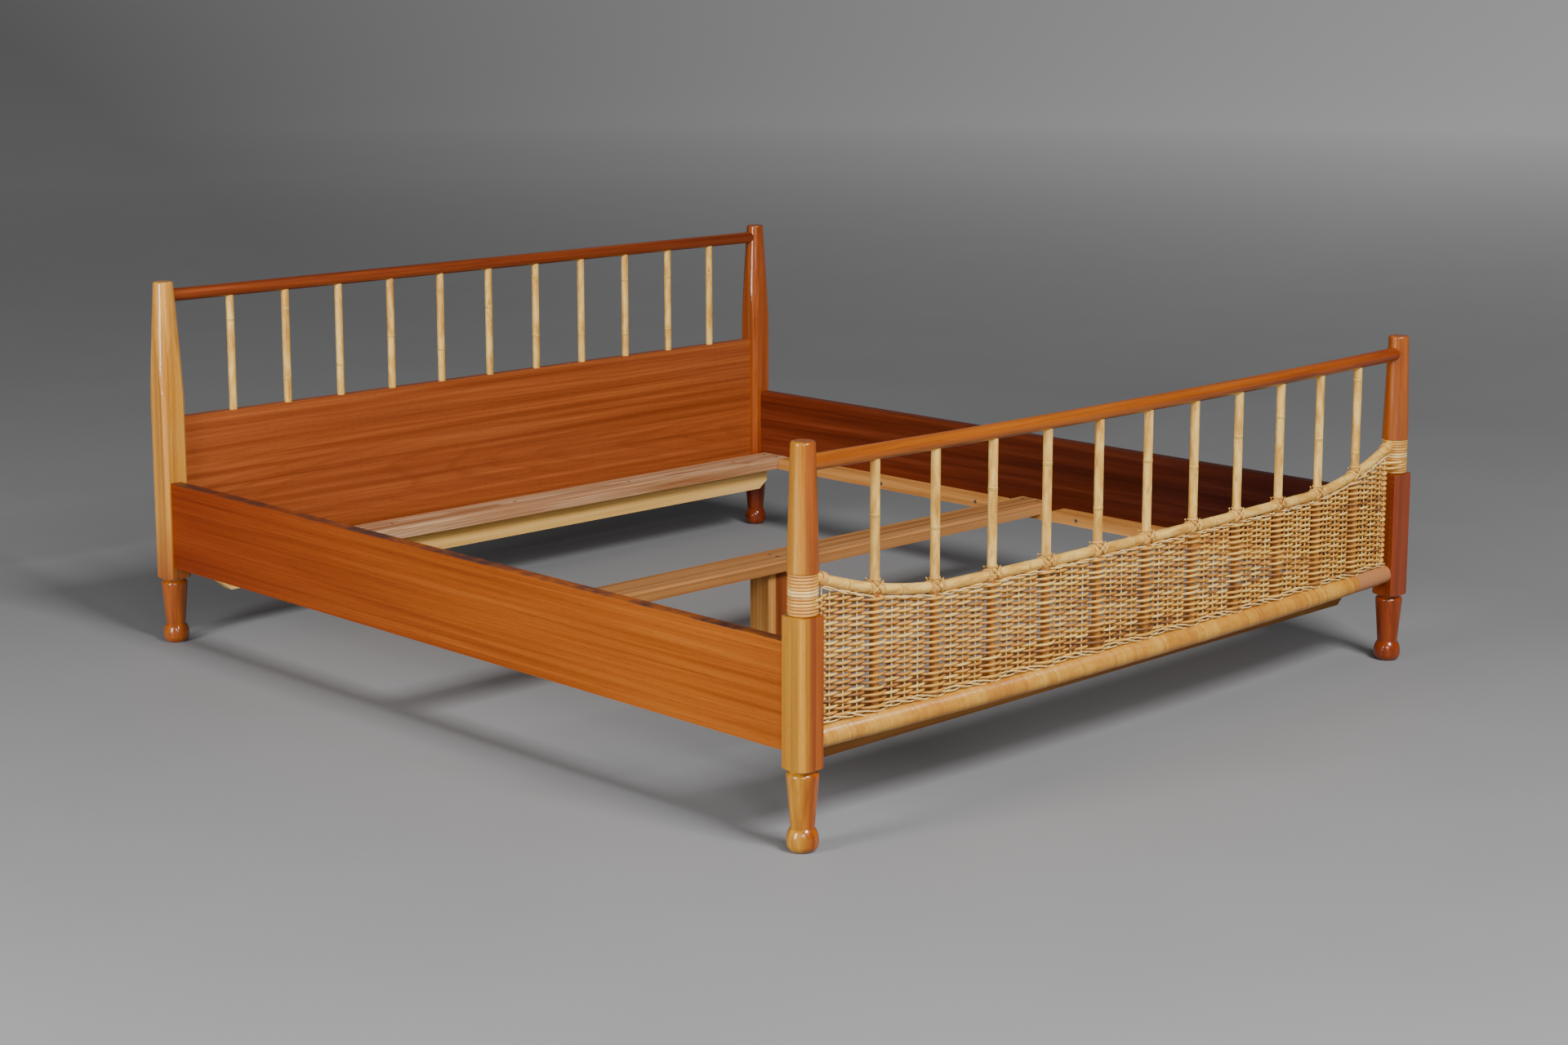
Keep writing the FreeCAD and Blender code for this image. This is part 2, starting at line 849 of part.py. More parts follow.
def hoop_end_lashings():
    x = half_width.value - size.hoop_end_gap.value - size.hoop_end_lashing_offset.value
    x -= lashing_half_length(HOOP_END_TURNS)
    return Part.makeCompound([place_lashing(HOOP_END_TURNS, side * x) for side in (LEFT, RIGHT)])


def post_winding(side):
    radius = (size.neck_diameter.value + size.wrap_strand_diameter.value) / 2 + size.wrap_seat_gap.value
    coil = winding(radius, size.wrap_pitch.value, WRAP_TURNS, size.wrap_strand_diameter.value)
    middle = (size.foot_block_top.value + wrap_top.value) / 2
    centre = FreeCAD.Vector(side * half_width.value, -half_length.value, middle)
    return aim(coil, centre, FreeCAD.Vector(0, 0, 1))


def post_band(name, side, hoop):
    """Flat bands over the top of the neck, notched where the curved rail's tip comes in."""
    centre = (side * half_width, -half_length, wrap_top)
    outer = make_cylinder(name + "_outer", size.upper_base_diameter, size.band_height, centre)
    inner = make_cylinder(name + "_inner", size.neck_diameter, size.band_height, centre)
    return cut(name, outer, [inner], [hoop])


# Boards, ledgers and beams

def rail_board(name, side):
    body = start_body(name)
    low, high = size.rail_bottom, rail_top
    pad_outline(body, "YZ_Plane", [
        (-rail_half_length, low), (rail_half_length, low),
        (rail_half_length, high), (-rail_half_length, high),
    ], size.rail_outer_offset + size.rail_inner_offset, name + "_board")
    return place(body, fitting_x(side), 0, 0)


def ledger_bar(name, side):
    """Bar with a bevelled notch in its middle and a seat at each end for the end beams."""
    body = start_body(name)
    seat = end_beam_y - size.beam_width / 2 - size.ledger_seat_clearance
    half = half_length - post_half
    low = size.rail_bottom
    run = size.notch_floor_half + size.notch_run
    pad_outline(body, "YZ_Plane", [
        (-half, low), (half, low), (half, notch_floor), (seat, notch_floor), (seat, ledger_top),
        (run, ledger_top), (size.notch_floor_half, notch_floor), (-size.notch_floor_half, notch_floor),
        (-run, ledger_top), (-seat, ledger_top), (-seat, notch_floor), (-half, notch_floor),
    ], size.ledger_width, name + "_bar")
    return place(body, side * (rail_inner_x - size.ledger_width / 2), 0, 0)


def beam_section(bottom):
    """Cross section of a beam with its two upper long edges rounded."""
    half = size.beam_width / 2
    top = bottom + size.beam_thickness
    rounding = size.beam_edge_round
    return [
        (-half, bottom), (half, bottom), (half, top - rounding), (half - rounding, top, rounding),
        (-half + rounding, top), (-half, top - rounding, rounding),
    ]


def beam_board(name, centre_y, bottom):
    body = start_body(name)
    pad_outline(body, "YZ_Plane", beam_section(bottom), 2 * beam_half_length, name + "_board")
    return place(body, 0, centre_y, 0)


def lap_cutters(name, centre_y):
    """What comes off the underside of an end beam where it drops onto the ledgers' seats."""
    cutters = []
    inner = ledger_inner_x - size.ledger_seat_clearance
    reach = beam_half_length - inner + size.overrun
    for side in (LEFT, RIGHT):
        start = inner if side == RIGHT else -inner - reach
        corner = (start, centre_y - size.beam_width / 2 - size.overrun, end_beam_bottom - size.overrun)
        lengths = (reach, size.beam_width + 2 * size.overrun, notch_floor - end_beam_bottom + size.overrun)
        cutters.append(make_box("%s_%d" % (name, side + 1), corner, lengths))
    return cutters


def rib_board(name, centre_y):
    body = start_body(name)
    top = end_beam_bottom
    low = top - size.rib_height
    end = ledger_inner_x - size.rib_end_gap
    pad_outline(body, "XZ_Plane", [
        (-end + size.rib_bevel_run, low), (end - size.rib_bevel_run, low), (end, low + size.rib_bevel_rise),
        (end, top), (-end, top), (-end, low + size.rib_bevel_rise),
    ], size.rib_thickness, name + "_board")
    return place(body, 0, centre_y, 0)


def build_rails():
    """Side rails with ledgers, their screws and the hook plates in the rail ends."""
    hooks = {(side, end): hook_plate(side, end) for side in (LEFT, RIGHT) for end in (HEAD, FOOT)}
    all_screws = []
    for side, word in ((LEFT, "left"), (RIGHT, "right")):
        screws = ledger_screws(side)
        all_screws += screws
        board = rail_board("side_rail_%s_blank" % word, side)
        tools = [hooks[side, HEAD], hooks[side, FOOT]] + screws
        keep(cut("side_rail_%s_cut" % word, board, tools), "side_rail_" + word)
        bar = ledger_bar("ledger_%s_blank" % word, side)
        seats = beam_screw_tools[side]
        keep(cut("ledger_%s_cut" % word, bar, screws + seats), "ledger_" + word)
    keep(gather("ledger_screws_group", all_screws), "ledger_screws")
    keep(gather("rail_hook_plates_group", list(hooks.values())), "rail_hook_plates")


def build_beams():
    """Three cross beams, two of them stiffened by ribs, and the screws that hold them."""
    lapped = size.beam_screw_length - size.notch_depth
    sets = {
        "head": beam_screws("head_beam_screw", end_beam_y, ledger_top, lapped),
        "middle": beam_screws("middle_beam_screw", 0, middle_beam_top, size.beam_screw_length),
        "foot": beam_screws("foot_beam_screw", -end_beam_y, ledger_top, lapped),
    }
    all_ribs = []
    for name, centre_y in (("head", end_beam_y), ("foot", -end_beam_y)):
        board = beam_board(name + "_cross_beam_blank", centre_y, end_beam_bottom)
        ribs = rib_screws(name + "_rib_screw", centre_y)
        laps = lap_cutters(name + "_lap", centre_y)
        keep(cut(name + "_cross_beam_cut", board, laps, sets[name] + ribs), name + "_cross_beam")
        rib = rib_board(name + "_beam_rib_blank", centre_y)
        keep(cut(name + "_beam_rib_cut", rib, ribs), name + "_beam_rib")
        all_ribs += ribs
    keep(gather("rib_screws_group", all_ribs), "rib_screws")
    legs = leg_screws()
    board = beam_board("middle_cross_beam_blank", 0, notch_floor)
    keep(cut("middle_cross_beam_cut", board, sets["middle"] + legs), "middle_cross_beam")
    keep(gather("beam_screws_group", sets["head"] + sets["middle"] + sets["foot"]), "beam_screws")
    build_leg(legs)
    for things in sets.values():
        beam_screw_tools[LEFT] += things[:2]
        beam_screw_tools[RIGHT] += things[2:]


def build_leg(screws):
    """Leg of a core board between two cheeks under the middle beam."""
    half = size.leg_core_width / 2
    depth = size.leg_depth
    core = make_box("leg_core_blank", (-half, -depth / 2, 0), (size.leg_core_width, depth, notch_floor))
    keep(cut("leg_core_cut", core, screws), "centre_leg_core")
    for side, word in ((LEFT, "left"), (RIGHT, "right")):
        start = half if side == RIGHT else -half - size.leg_cheek_thickness
        lengths = (size.leg_cheek_thickness, depth, notch_floor)
        keep(make_box("leg_cheek_" + word, (start, -depth / 2, 0), lengths), "centre_leg_cheek_" + word)
    keep(gather("leg_screws_group", screws), "leg_screws")


def build_headboard():
    """Top rail, spindles and boarded panel, and the solids that the head posts are cut by."""
    seat = half_width - size.top_rail_seat
    lying = turned_to((1, 0, 0))
    start = (-seat, half_length, size.head_rail_height)
    blank = make_cylinder("head_top_rail_blank", size.top_rail_diameter, 2 * seat, start, lying)
    foot = size.panel_top - size.spindle_tenon
    top = size.head_rail_height - size.top_rail_diameter / 2 + size.spindle_tenon
    spindles = []
    for index in range(SPINDLE_COUNT):
        base = (spindle_x(index, head_bay), half_length, foot)
        name = "head_spindle_%02d" % (index + 1)
        spindles.append(keep(make_cylinder(name, size.spindle_diameter, top - foot, base), name))
    keep(cut("head_top_rail_cut", blank, spindles), "head_top_rail")
    reach = half_width - post_half + size.panel_tongue
    board = make_box(
        "head_panel_blank",
        (-reach, half_length - size.panel_thickness / 2, size.panel_bottom),
        (2 * reach, size.panel_thickness, size.panel_top - size.panel_bottom),
    )
    keep(cut("head_panel_cut", board, spindles), "head_panel")
    return [[blank, board]]


def build_footboard():
    """Bowed top rail, curved rattan rail, spindles, wicker mat and cane-wrapped roll."""
    hoop = keep(fixed_shape("curved_rail_shape", hoop_tube(size.hoop_diameter.value)), "curved_rattan_rail")
    rail_reach = half_width - size.top_rail_seat
    rail = level_tube("foot_top_rail_blank", rail_reach, size.foot_rail_height, size.top_rail_diameter)
    roll_reach = half_width - post_half
    core_reach = roll_reach + size.roll_tenon
    core = level_tube("roll_core_blank", core_reach, size.roll_height, size.roll_core_diameter)
    wrap_reach = roll_reach - size.roll_wrap_end_gap
    wrap = level_tube("roll_wrap_blank", wrap_reach, size.roll_height, 2 * roll_radius)
    poles, tails, lowers, windows = [], [], [], []
    top = size.foot_rail_height - size.top_rail_diameter / 2 + size.spindle_tenon
    bottom = size.roll_height + roll_radius - size.spindle_tenon
    for index in range(SPINDLE_COUNT):
        x = spindle_x(index, foot_bay)
        y = bowed_y(x)
        middle = Size(hoop_rise(x.value), repr(hoop_rise(x.value)))
        name = "foot_spindle_%02d" % (index + 1)
        pole = make_cylinder(name + "_pole", size.spindle_diameter, top - middle, (x, y, middle))
        poles.append(pole)
        keep(cut(name + "_coped", pole, [hoop]), name)
        tail = make_cylinder(name + "_tail", size.spindle_diameter, middle - bottom, (x, y, bottom))
        tails.append(tail)
        lowers.append(cut(name + "_tail_coped", tail, [hoop]))
        gap_half = size.spindle_diameter / 2 + size.wicker_spindle_gap
        corner = (x - gap_half, y - gap_half, bottom)
        windows.append(make_box(name + "_window", corner, (2 * gap_half, 2 * gap_half, middle - bottom)))
    keep(gather("foot_lower_spindles_group", lowers), "foot_lower_spindles")
    keep(cut("foot_top_rail_cut", rail, poles), "foot_top_rail")
    keep(cut("roll_core_cut", core, tails), "foot_bottom_rail")
    keep(cut("roll_wrap_cut", wrap, windows, [core]), "bottom_rail_cane_wrap")
    mat = fixed_shape("wicker_blank", wicker_mat())
    trim = fixed_shape("wicker_trim", above_wicker())
    keep(cut("wicker_cut", mat, [trim], [wrap]), "wicker_panel")
    keep(fixed_shape("spindle_lashing_shape", spindle_lashings()), "spindle_lashings")
    keep(fixed_shape("hoop_end_lashing_shape", hoop_end_lashings()), "hoop_end_lashings")
    for side, word in ((LEFT, "left"), (RIGHT, "right")):
        keep(fixed_shape("post_winding_%s_shape" % word, post_winding(side)), "post_winding_" + word)
        keep(post_band("post_band_%s_cut" % word, side, hoop), "post_band_" + word)
    return [rail, core], [hoop]


def build_posts(head_tools, foot_tools):
    """Four posts, cut where the rails, panel and fittings are let into them."""
    plates = []
    for side, word in ((LEFT, "left"), (RIGHT, "right")):
        for end, height, waste, tools in (
            (HEAD, size.head_height, head_post_waste, head_tools),
            (FOOT, size.foot_height, foot_post_waste, foot_tools),
        ):
            name = "%s_post_%s" % ("head" if end == HEAD else "foot", word)
            plates.append(strike_plate(side, end))
            room = mortises(name + "_mortise", side, end)
            recess = plate_box(name + "_recess", side, end, False)
            blank = turned_post(name + "_blank", height, waste(), side, end)
            keep(cut(name + "_cut", blank, *tools, room, [recess]), name)
    keep(gather("post_strike_plates_group", plates), "post_strike_plates")


def report_windings():
    """Print the least clear gap between neighbouring turns of each kind of winding."""
    neck = (size.neck_diameter.value + size.wrap_strand_diameter.value) / 2 + size.wrap_seat_gap.value
    gap = least_self_gap(neck, size.wrap_pitch.value, WRAP_TURNS, size.wrap_strand_diameter.value)
    print("post winding: least self gap %.2f mm" % gap)
    for word, turns in (("spindle lashing", LASHING_TURNS), ("curved rail end lashing", HOOP_END_TURNS)):
        gap = least_self_gap(
            lashing_radius(), size.lashing_pitch.value, turns, size.lashing_strand_diameter.value
        )
        print("%s: least self gap %.2f mm" % (word, gap))


def check_and_write():
    """Refuse failed objects and bad shapes, then write one file for each piece."""
    doc.recompute()
    for thing in doc.Objects:
        if "Invalid" in thing.State or "Error" in thing.State:
            raise RuntimeError("%s failed: %s" % (thing.Name, thing.State))
    for thing in parts:
        if thing.Shape.isNull() or not thing.Shape.isValid() or not thing.Shape.Solids:
            raise RuntimeError("%s has no valid solid" % thing.Label)
    os.makedirs("parts", exist_ok=True)
    for thing in parts:
        thing.Shape.exportStep("parts/%s.step" % thing.Label)
        box = thing.Shape.BoundBox
        print("%-24s solids %2d  volume %10.0f  x %7.1f %7.1f  y %8.1f %8.1f  z %6.1f %6.1f" % (
            thing.Label, len(thing.Shape.Solids), thing.Shape.Volume,
            box.XMin, box.XMax, box.YMin, box.YMax, box.ZMin, box.ZMax,
        ))


beam_screw_tools = {LEFT: [], RIGHT: []}
build_beams()
build_rails()
build_posts(build_headboard(), build_footboard())
report_windings()
check_and_write()
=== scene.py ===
import json
import math

import bpy
import numpy as np
from mathutils import Matrix, Vector

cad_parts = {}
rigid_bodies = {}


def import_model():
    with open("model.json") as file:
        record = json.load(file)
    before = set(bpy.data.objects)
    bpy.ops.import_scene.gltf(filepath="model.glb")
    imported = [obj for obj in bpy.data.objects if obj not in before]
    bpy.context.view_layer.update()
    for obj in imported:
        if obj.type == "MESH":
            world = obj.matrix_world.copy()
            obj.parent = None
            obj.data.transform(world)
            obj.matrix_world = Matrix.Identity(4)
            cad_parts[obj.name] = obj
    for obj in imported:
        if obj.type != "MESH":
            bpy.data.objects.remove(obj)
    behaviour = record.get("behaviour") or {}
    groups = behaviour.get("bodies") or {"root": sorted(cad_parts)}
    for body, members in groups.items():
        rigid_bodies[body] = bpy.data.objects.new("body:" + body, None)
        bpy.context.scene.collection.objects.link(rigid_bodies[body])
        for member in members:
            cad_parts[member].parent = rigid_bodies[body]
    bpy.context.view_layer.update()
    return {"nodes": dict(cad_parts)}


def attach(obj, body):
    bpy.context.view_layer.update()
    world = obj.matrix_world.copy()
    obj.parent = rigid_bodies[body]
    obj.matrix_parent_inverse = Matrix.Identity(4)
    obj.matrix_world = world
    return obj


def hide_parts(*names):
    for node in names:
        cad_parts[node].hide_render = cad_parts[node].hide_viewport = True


for thing in list(bpy.data.objects):
    bpy.data.objects.remove(thing)

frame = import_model()
nodes = frame["nodes"]
rng = np.random.default_rng(11)

# The bed, in metres: left is -X, the foot is -Y
HALF_WIDTH = 0.931
HALF_LENGTH = 1.0275
BOW = 0.029
BOW_RADIUS = (HALF_WIDTH ** 2 + BOW ** 2) / (2 * BOW)
HOOP_HEIGHT = 0.426
HOOP_FLAT = 0.545
HOOP_BEND = 1.005
HOOP_END = 0.911
HOOP_RADIUS = 0.0102
POST_HALF = 0.030
ROLL_HEIGHT = 0.201
ROLL_RADIUS = 0.021
SPINDLE_RADIUS = 0.009
FOOT_BAY = 0.152
HEAD_BAY = 0.1514
NECK_RADIUS = 0.0225
NECK_LOW = 0.429
NECK_TOP = 0.505
SIDES = (-1, 1)


def bow(x):
    """The Y of the bowed foot end at a place across the bed."""
    return BOW_RADIUS - HALF_LENGTH - BOW - np.sqrt(BOW_RADIUS ** 2 - np.asarray(x) ** 2)


def rise(x):
    """The height of the curved rail's centre line at a place across the bed."""
    out = np.maximum(np.abs(x) - HOOP_FLAT, 0)
    return HOOP_HEIGHT + HOOP_BEND - np.sqrt(HOOP_BEND ** 2 - out ** 2)


# Camera and studio

CAMERA_PLACE = Vector((-4.0914, -4.1959, 1.5500))
CAMERA_YAW = math.radians(44.508)
CAMERA_PITCH = math.radians(-9.59)
FOCAL_SHARE = 3229.4 / 1920
SHIFT_SHARE = -140 / 1920


def add_camera():
    data = bpy.data.cameras.new("photo_camera")
    data.sensor_width = 36
    data.lens = FOCAL_SHARE * data.sensor_width
    data.shift_y = SHIFT_SHARE
    data.clip_end = 1500
    camera = bpy.data.objects.new("photo_camera", data)
    bpy.context.collection.objects.link(camera)
    right = Vector((math.cos(CAMERA_YAW), -math.sin(CAMERA_YAW), 0))
    ahead = Vector((math.sin(CAMERA_YAW) * math.cos(CAMERA_PITCH),
                    math.cos(CAMERA_YAW) * math.cos(CAMERA_PITCH), math.sin(CAMERA_PITCH)))
    turn = Matrix((right, right.cross(ahead), -ahead)).transposed()
    camera.matrix_world = Matrix.Translation(CAMERA_PLACE) @ turn.to_4x4()
    bpy.context.scene.camera = camera


def add_light(name, place, target, size, power):
    data = bpy.data.lights.new(name, "AREA")
    data.shape = "RECTANGLE"
    data.size, data.size_y = size
    data.energy = power
    light = bpy.data.objects.new(name, data)
    bpy.context.collection.objects.link(light)
    light.location = place
    light.rotation_euler = (Vector(target) - Vector(place)).to_track_quat("-Z", "Y").to_euler()


def add_world(tint, strength):
    world = bpy.data.worlds.new("studio")
    bpy.context.scene.world = world
    world.use_nodes = True
    world.node_tree.nodes["Background"].inputs["Color"].default_value = (*tint, 1)
    world.node_tree.nodes["Background"].inputs["Strength"].default_value = strength


# Materials

def colour(code):
    """A colour given as it looks on a screen, made linear."""
    parts = [int(code[i:i + 2], 16) / 255 for i in (0, 2, 4)]
    return tuple(p / 12.92 if p <= 0.04045 else ((p + 0.055) / 1.055) ** 2.4 for p in parts) + (1,)


class Shader:
    """Builds a node material in few words: sockets and constants may both be fed to an input."""

    def __init__(self, name, **constants):
        self.material = bpy.data.materials.new(name)
        self.material.use_nodes = True
        self.tree = self.material.node_tree
        self.tree.nodes.clear()
        out = self.tree.nodes.new("ShaderNodeOutputMaterial")
        self.skin = self.add("ShaderNodeBsdfPrincipled", constants)
        self.tree.links.new(self.skin.outputs["BSDF"], out.inputs["Surface"])

    def add(self, kind, inputs=None, **settings):
        node = self.tree.nodes.new(kind)
        for key, value in settings.items():
            setattr(node, key, value)
        for key, value in (inputs or {}).items():
            self.feed(node.inputs[key], value)
        return node

    def feed(self, socket, value):
        if isinstance(value, bpy.types.NodeSocket):
            self.tree.links.new(value, socket)
        else:
            socket.default_value = value

    def where(self, scale, kind="Object", move=(0, 0, 0)):
        start = self.add("ShaderNodeTexCoord").outputs[kind]
        return self.add("ShaderNodeMapping", {"Vector": start, "Scale": scale, "Location": move}).outputs[0]

    def noise(self, place, scale=1.0, detail=2.0, rough=0.5, bend=0.0):
        return self.add("ShaderNodeTexNoise", {
            "Vector": place, "Scale": scale, "Detail": detail, "Roughness": rough, "Distortion": bend,
        }).outputs["Fac"]

    def maths(self, how, *values):
        node = self.add("ShaderNodeMath", operation=how)
        for socket, value in zip(node.inputs, values):
            self.feed(socket, value)
        return node.outputs[0]

    def span(self, value, low, high, to_low=0.0, to_high=1.0):
        return self.add("ShaderNodeMapRange", {
            "Value": value, "From Min": low, "From Max": high, "To Min": to_low, "To Max": to_high,
        }).outputs["Result"]

    def ramp(self, value, *stops):
        node = self.add("ShaderNodeValToRGB", {"Fac": value})
        cells = node.color_ramp.elements
        cells[0].position, cells[0].color = stops[0][0], colour(stops[0][1])
        cells[1].position, cells[1].color = stops[-1][0], colour(stops[-1][1])
        for place, code in stops[1:-1]:
            cells.new(place).color = colour(code)
        return node.outputs["Color"]

    def mix(self, share, low, high, how="MIX"):
        node = self.add("ShaderNodeMix", data_type="RGBA", blend_type=how)
        for key, value in ((0, share), (6, low), (7, high)):
            self.feed(node.inputs[key], value)
        return node.outputs[2]

    def spot(self):
        """The object's own coordinates, as one socket for each axis."""
        return self.add("ShaderNodeSeparateXYZ", {"Vector": self.where((1, 1, 1))}).outputs

    def rings(self, axis, pith, tilt, pitch):
        """Growth rings counted out from a pith line that leans a little off the axis."""
        spot = self.spot()
        along = spot[axis]
        outward = [self.maths("SUBTRACT", self.maths("MULTIPLY_ADD", along, lean, spot[name]), place)
                   for name, lean, place in zip("XYZ".replace(axis, ""), tilt, pith)]
        squares = [self.maths("MULTIPLY", reach, reach) for reach in outward]
        return self.maths("DIVIDE", self.maths("SQRT", self.maths("ADD", *squares)), pitch)

    def named(self, attribute):
        return self.add("ShaderNodeAttribute", attribute_name=attribute).outputs["Fac"]

    def bump(self, height, depth, strength=1.0):
        node = self.add("ShaderNodeBump", {"Height": height, "Distance": depth, "Strength": strength})
        self.feed(self.skin.inputs["Normal"], node.outputs[0])


def stretched(axis, along, across):
    """A scale for each axis, so that a pattern is drawn out along one of them."""
    return tuple(along if name == axis else across for name in "XYZ")


def wood(name, axis, dark, middle, light, pith, tilt, pitch=0.006, seed=0, mark=0.5, specks=0.3, fine=42.0,
         gloss=0.32, coat=0.25, shine=0.14, warp=2.5, drift=None, edge=None, worn=None):
    """Wood cut from a log: growth rings round a pith line, with streaks, fibres and pores along the axis.

    Mark is the rings' strength, drift a tint that grows along an axis, and worn the colour of a rubbed edge.
    """
    shader = Shader(name, **{"Coat Weight": coat, "Coat Roughness": 0.08, "Specular IOR Level": shine})
    offset = (seed * 1.7, seed * 2.3, seed * 3.1)
    wave = shader.noise(shader.where(stretched(axis, 1.6, 11.0), move=offset), 1.0, 3.0, 0.5)
    ring = shader.maths("MULTIPLY_ADD", wave, warp, shader.rings(axis, pith, tilt, pitch))
    year = shader.ramp(shader.maths("FRACT", ring), (0.0, "303030"), (0.5, "505050"), (0.86, "ffffff"),
                       (1.0, "303030"))
    fibre = shader.noise(shader.where(stretched(axis, 4.0, 300.0), move=offset), 1.0, 3.0, 0.6)
    streak = shader.noise(shader.where(stretched(axis, 0.9, fine), move=offset), 1.0, 4.0, 0.6)
    base = shader.ramp(streak, (0.30, dark), (0.50, middle), (0.70, light))
    depth = shader.maths("MULTIPLY", year, shader.span(wave, 0.3, 0.7, 0.4 * mark, mark))
    base = shader.mix(depth, base, colour(dark))
    base = shader.mix(shader.span(fibre, 0.40, 0.70, 0.0, 0.30), base, colour(dark))
    pores = shader.noise(shader.where(stretched(axis, 45.0, 900.0), move=offset), 1.0, 1.0, 0.5)
    base = shader.mix(shader.span(pores, 0.62, 0.72, 0.0, specks), base, (0.05, 0.02, 0.01, 1))
    if drift:
        way, start, end, tint = drift
        tinted = shader.mix(1.0, base, colour(tint), "MULTIPLY")
        base = shader.mix(shader.span(shader.spot()[way], start, end), base, tinted)
    if edge:
        nicks = shader.noise(shader.where((9.0, 9.0, 60.0), move=offset), 1.0, 4.0, 0.7)
        near = shader.span(shader.spot()["Z"], *edge)
        rub = shader.maths("MULTIPLY", near, shader.span(nicks, 0.38, 0.58))
        base = shader.mix(rub, base, colour(worn))
    shader.feed(shader.skin.inputs["Base Color"], base)
    shader.feed(shader.skin.inputs["Roughness"], shader.span(streak, 0.3, 0.7, gloss, gloss + 0.14))
    shader.bump(shader.maths("ADD", fibre, pores), 0.00012, 0.5)
    return shader.material


def rattan(name, axis, seed=0, shade="ffffff"):
    """Peeled pole: gold, mottled, with brown stains and a faint lengthwise grain."""
    shader = Shader(name, **{"Coat Weight": 0.3, "Coat Roughness": 0.22, "Specular IOR Level": 0.45})
    offset = (seed * 1.1, seed * 0.7, seed * 1.9)
    mottle = shader.noise(shader.where(stretched(axis, 14.0, 60.0), move=offset), 1.0, 4.0, 0.6, 0.4)
    grain = shader.noise(shader.where(stretched(axis, 18.0, 700.0), move=offset), 1.0, 2.0, 0.5)
    base = shader.ramp(mottle, (0.30, "b07b2b"), (0.48, "d9a64a"), (0.62, "ecc46a"), (0.80, "d39c40"))
    base = shader.mix(shader.span(grain, 0.45, 0.75, 0.0, 0.35), base, colour("a9712b"))
    stain = shader.noise(shader.where(stretched(axis, 30.0, 130.0), move=offset), 1.0, 5.0, 0.7, 0.8)
    base = shader.mix(shader.span(stain, 0.58, 0.70, 0.0, 0.65), base, colour("5f3a15"))
    # The shade colour darkens the whole pole; for the lower foot spindles it is painted shade
    base = shader.mix(1.0, base, colour(shade), "MULTIPLY")
    shader.feed(shader.skin.inputs["Base Color"], base)
    shader.feed(shader.skin.inputs["Roughness"], shader.span(mottle, 0.3, 0.7, 0.34, 0.50))
    shader.bump(shader.maths("ADD", grain, mottle), 0.0002, 0.4)
    return shader.material


def cane(name, *stops, streaks=0.35, gloss=0.42, tint="5d4030"):
    """Strand material: each strand's own tone picks its colour, and fibres run along it."""
    shader = Shader(name, **{"Coat Weight": 0.15, "Coat Roughness": 0.3, "Specular IOR Level": 0.45})
    tone = shader.named("tone")
    along = shader.noise(shader.where((60.0, 60.0, 60.0)), 1.0, 3.0, 0.6)
    fibre = shader.noise(shader.where((30.0, 900.0, 1.0), "UV"), 1.0, 2.0, 0.6)
    shade = shader.maths("ADD", tone, shader.span(along, 0.3, 0.7, -0.10, 0.10))
    base = shader.ramp(shade, *stops)
    base = shader.mix(shader.span(fibre, 0.45, 0.75, 0.0, streaks), base, colour(tint))
    shader.feed(shader.skin.inputs["Base Color"], base)
    shader.feed(shader.skin.inputs["Roughness"], shader.span(along, 0.3, 0.7, gloss, gloss + 0.16))
    shader.bump(shader.maths("ADD", fibre, along), 0.0002, 0.5)
    return shader.material


def metal(name, tint):
    """Bare steel with a little wear."""
    shader = Shader(name, **{"Metallic": 1.0, "Specular IOR Level": 0.5})
    wear = shader.noise(shader.where((400, 400, 400)), 1.0, 4.0, 0.6)
    shader.feed(shader.skin.inputs["Base Color"], shader.ramp(wear, (0.3, tint), (0.7, "8d8d8a")))
    shader.feed(shader.skin.inputs["Roughness"], shader.span(wear, 0.3, 0.7, 0.30, 0.55))
    shader.bump(wear, 0.0001, 0.4)
    return shader.material


def studio_grey(name):
    """Paper floor with painted light: lighter far from the bed, and a painted glow far away and towards the
    right.
    """
    shader = Shader(name, **{"Specular IOR Level": 0.25})
    dust = shader.noise(shader.where((2.0, 2.0, 2.0)), 1.0, 3.0, 0.5)
    centre = shader.where((1, 1, 1))
    away = shader.add("ShaderNodeVectorMath", {0: centre}, operation="LENGTH").outputs["Value"]
    # Painted light: the floor's colour grows lighter with distance from the bed
    base = shader.ramp(shader.span(away, 2.0, 14.0), (0.0, "888889"), (1.0, "d2d2d4"))
    base = shader.mix(0.04, base, shader.ramp(dust, (0.3, "808080"), (0.7, "ffffff")), "MULTIPLY")
    shader.feed(shader.skin.inputs["Base Color"], base)
    shader.feed(shader.skin.inputs["Roughness"], shader.span(dust, 0.3, 0.7, 0.62, 0.70))
    # Painted light: the floor glows, more far from the bed and towards the right, though it is no lamp
    shader.feed(shader.skin.inputs["Emission Color"], (1, 1, 1, 1))
    spot = shader.spot()
    aside = shader.maths("DIVIDE", shader.maths("SUBTRACT", spot["X"], spot["Y"]), away)
    sideways = shader.span(aside, -0.45, 0.45, 0.025, 0.27)
    painted_glow = shader.maths("MULTIPLY", sideways, shader.span(away, 4.0, 20.0))
    shader.feed(shader.skin.inputs["Emission Strength"], painted_glow)
    return shader.material


def dress(material, *names):
    """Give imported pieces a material."""
    for name in names:
        for slot in nodes[name].material_slots:
            slot.material = material


# Strands

UP = (0, 0, 1)
TO_FOOT = (0, -1, 0)
TONE_SPREAD = 0.08
# Each strand reads another part of the fibre pattern
UV_SHIFT = 0.01


def ring_faces(start, rings, sides):
    """Quads between each ring of points and the next."""
    step = np.arange(rings - 1)[:, None] * sides
    here = np.arange(sides)[None, :]
    after = (here + 1) % sides
    quads = np.stack([step + here, step + after, step + sides + after, step + sides + here], axis=-1)
    return quads.reshape(-1, 4) + start


def set_values(mesh, name, values):
    """A value for each point, which a material reads by its name."""
    mesh.attributes.new(name, "FLOAT", "POINT").data.foreach_set("value", values)


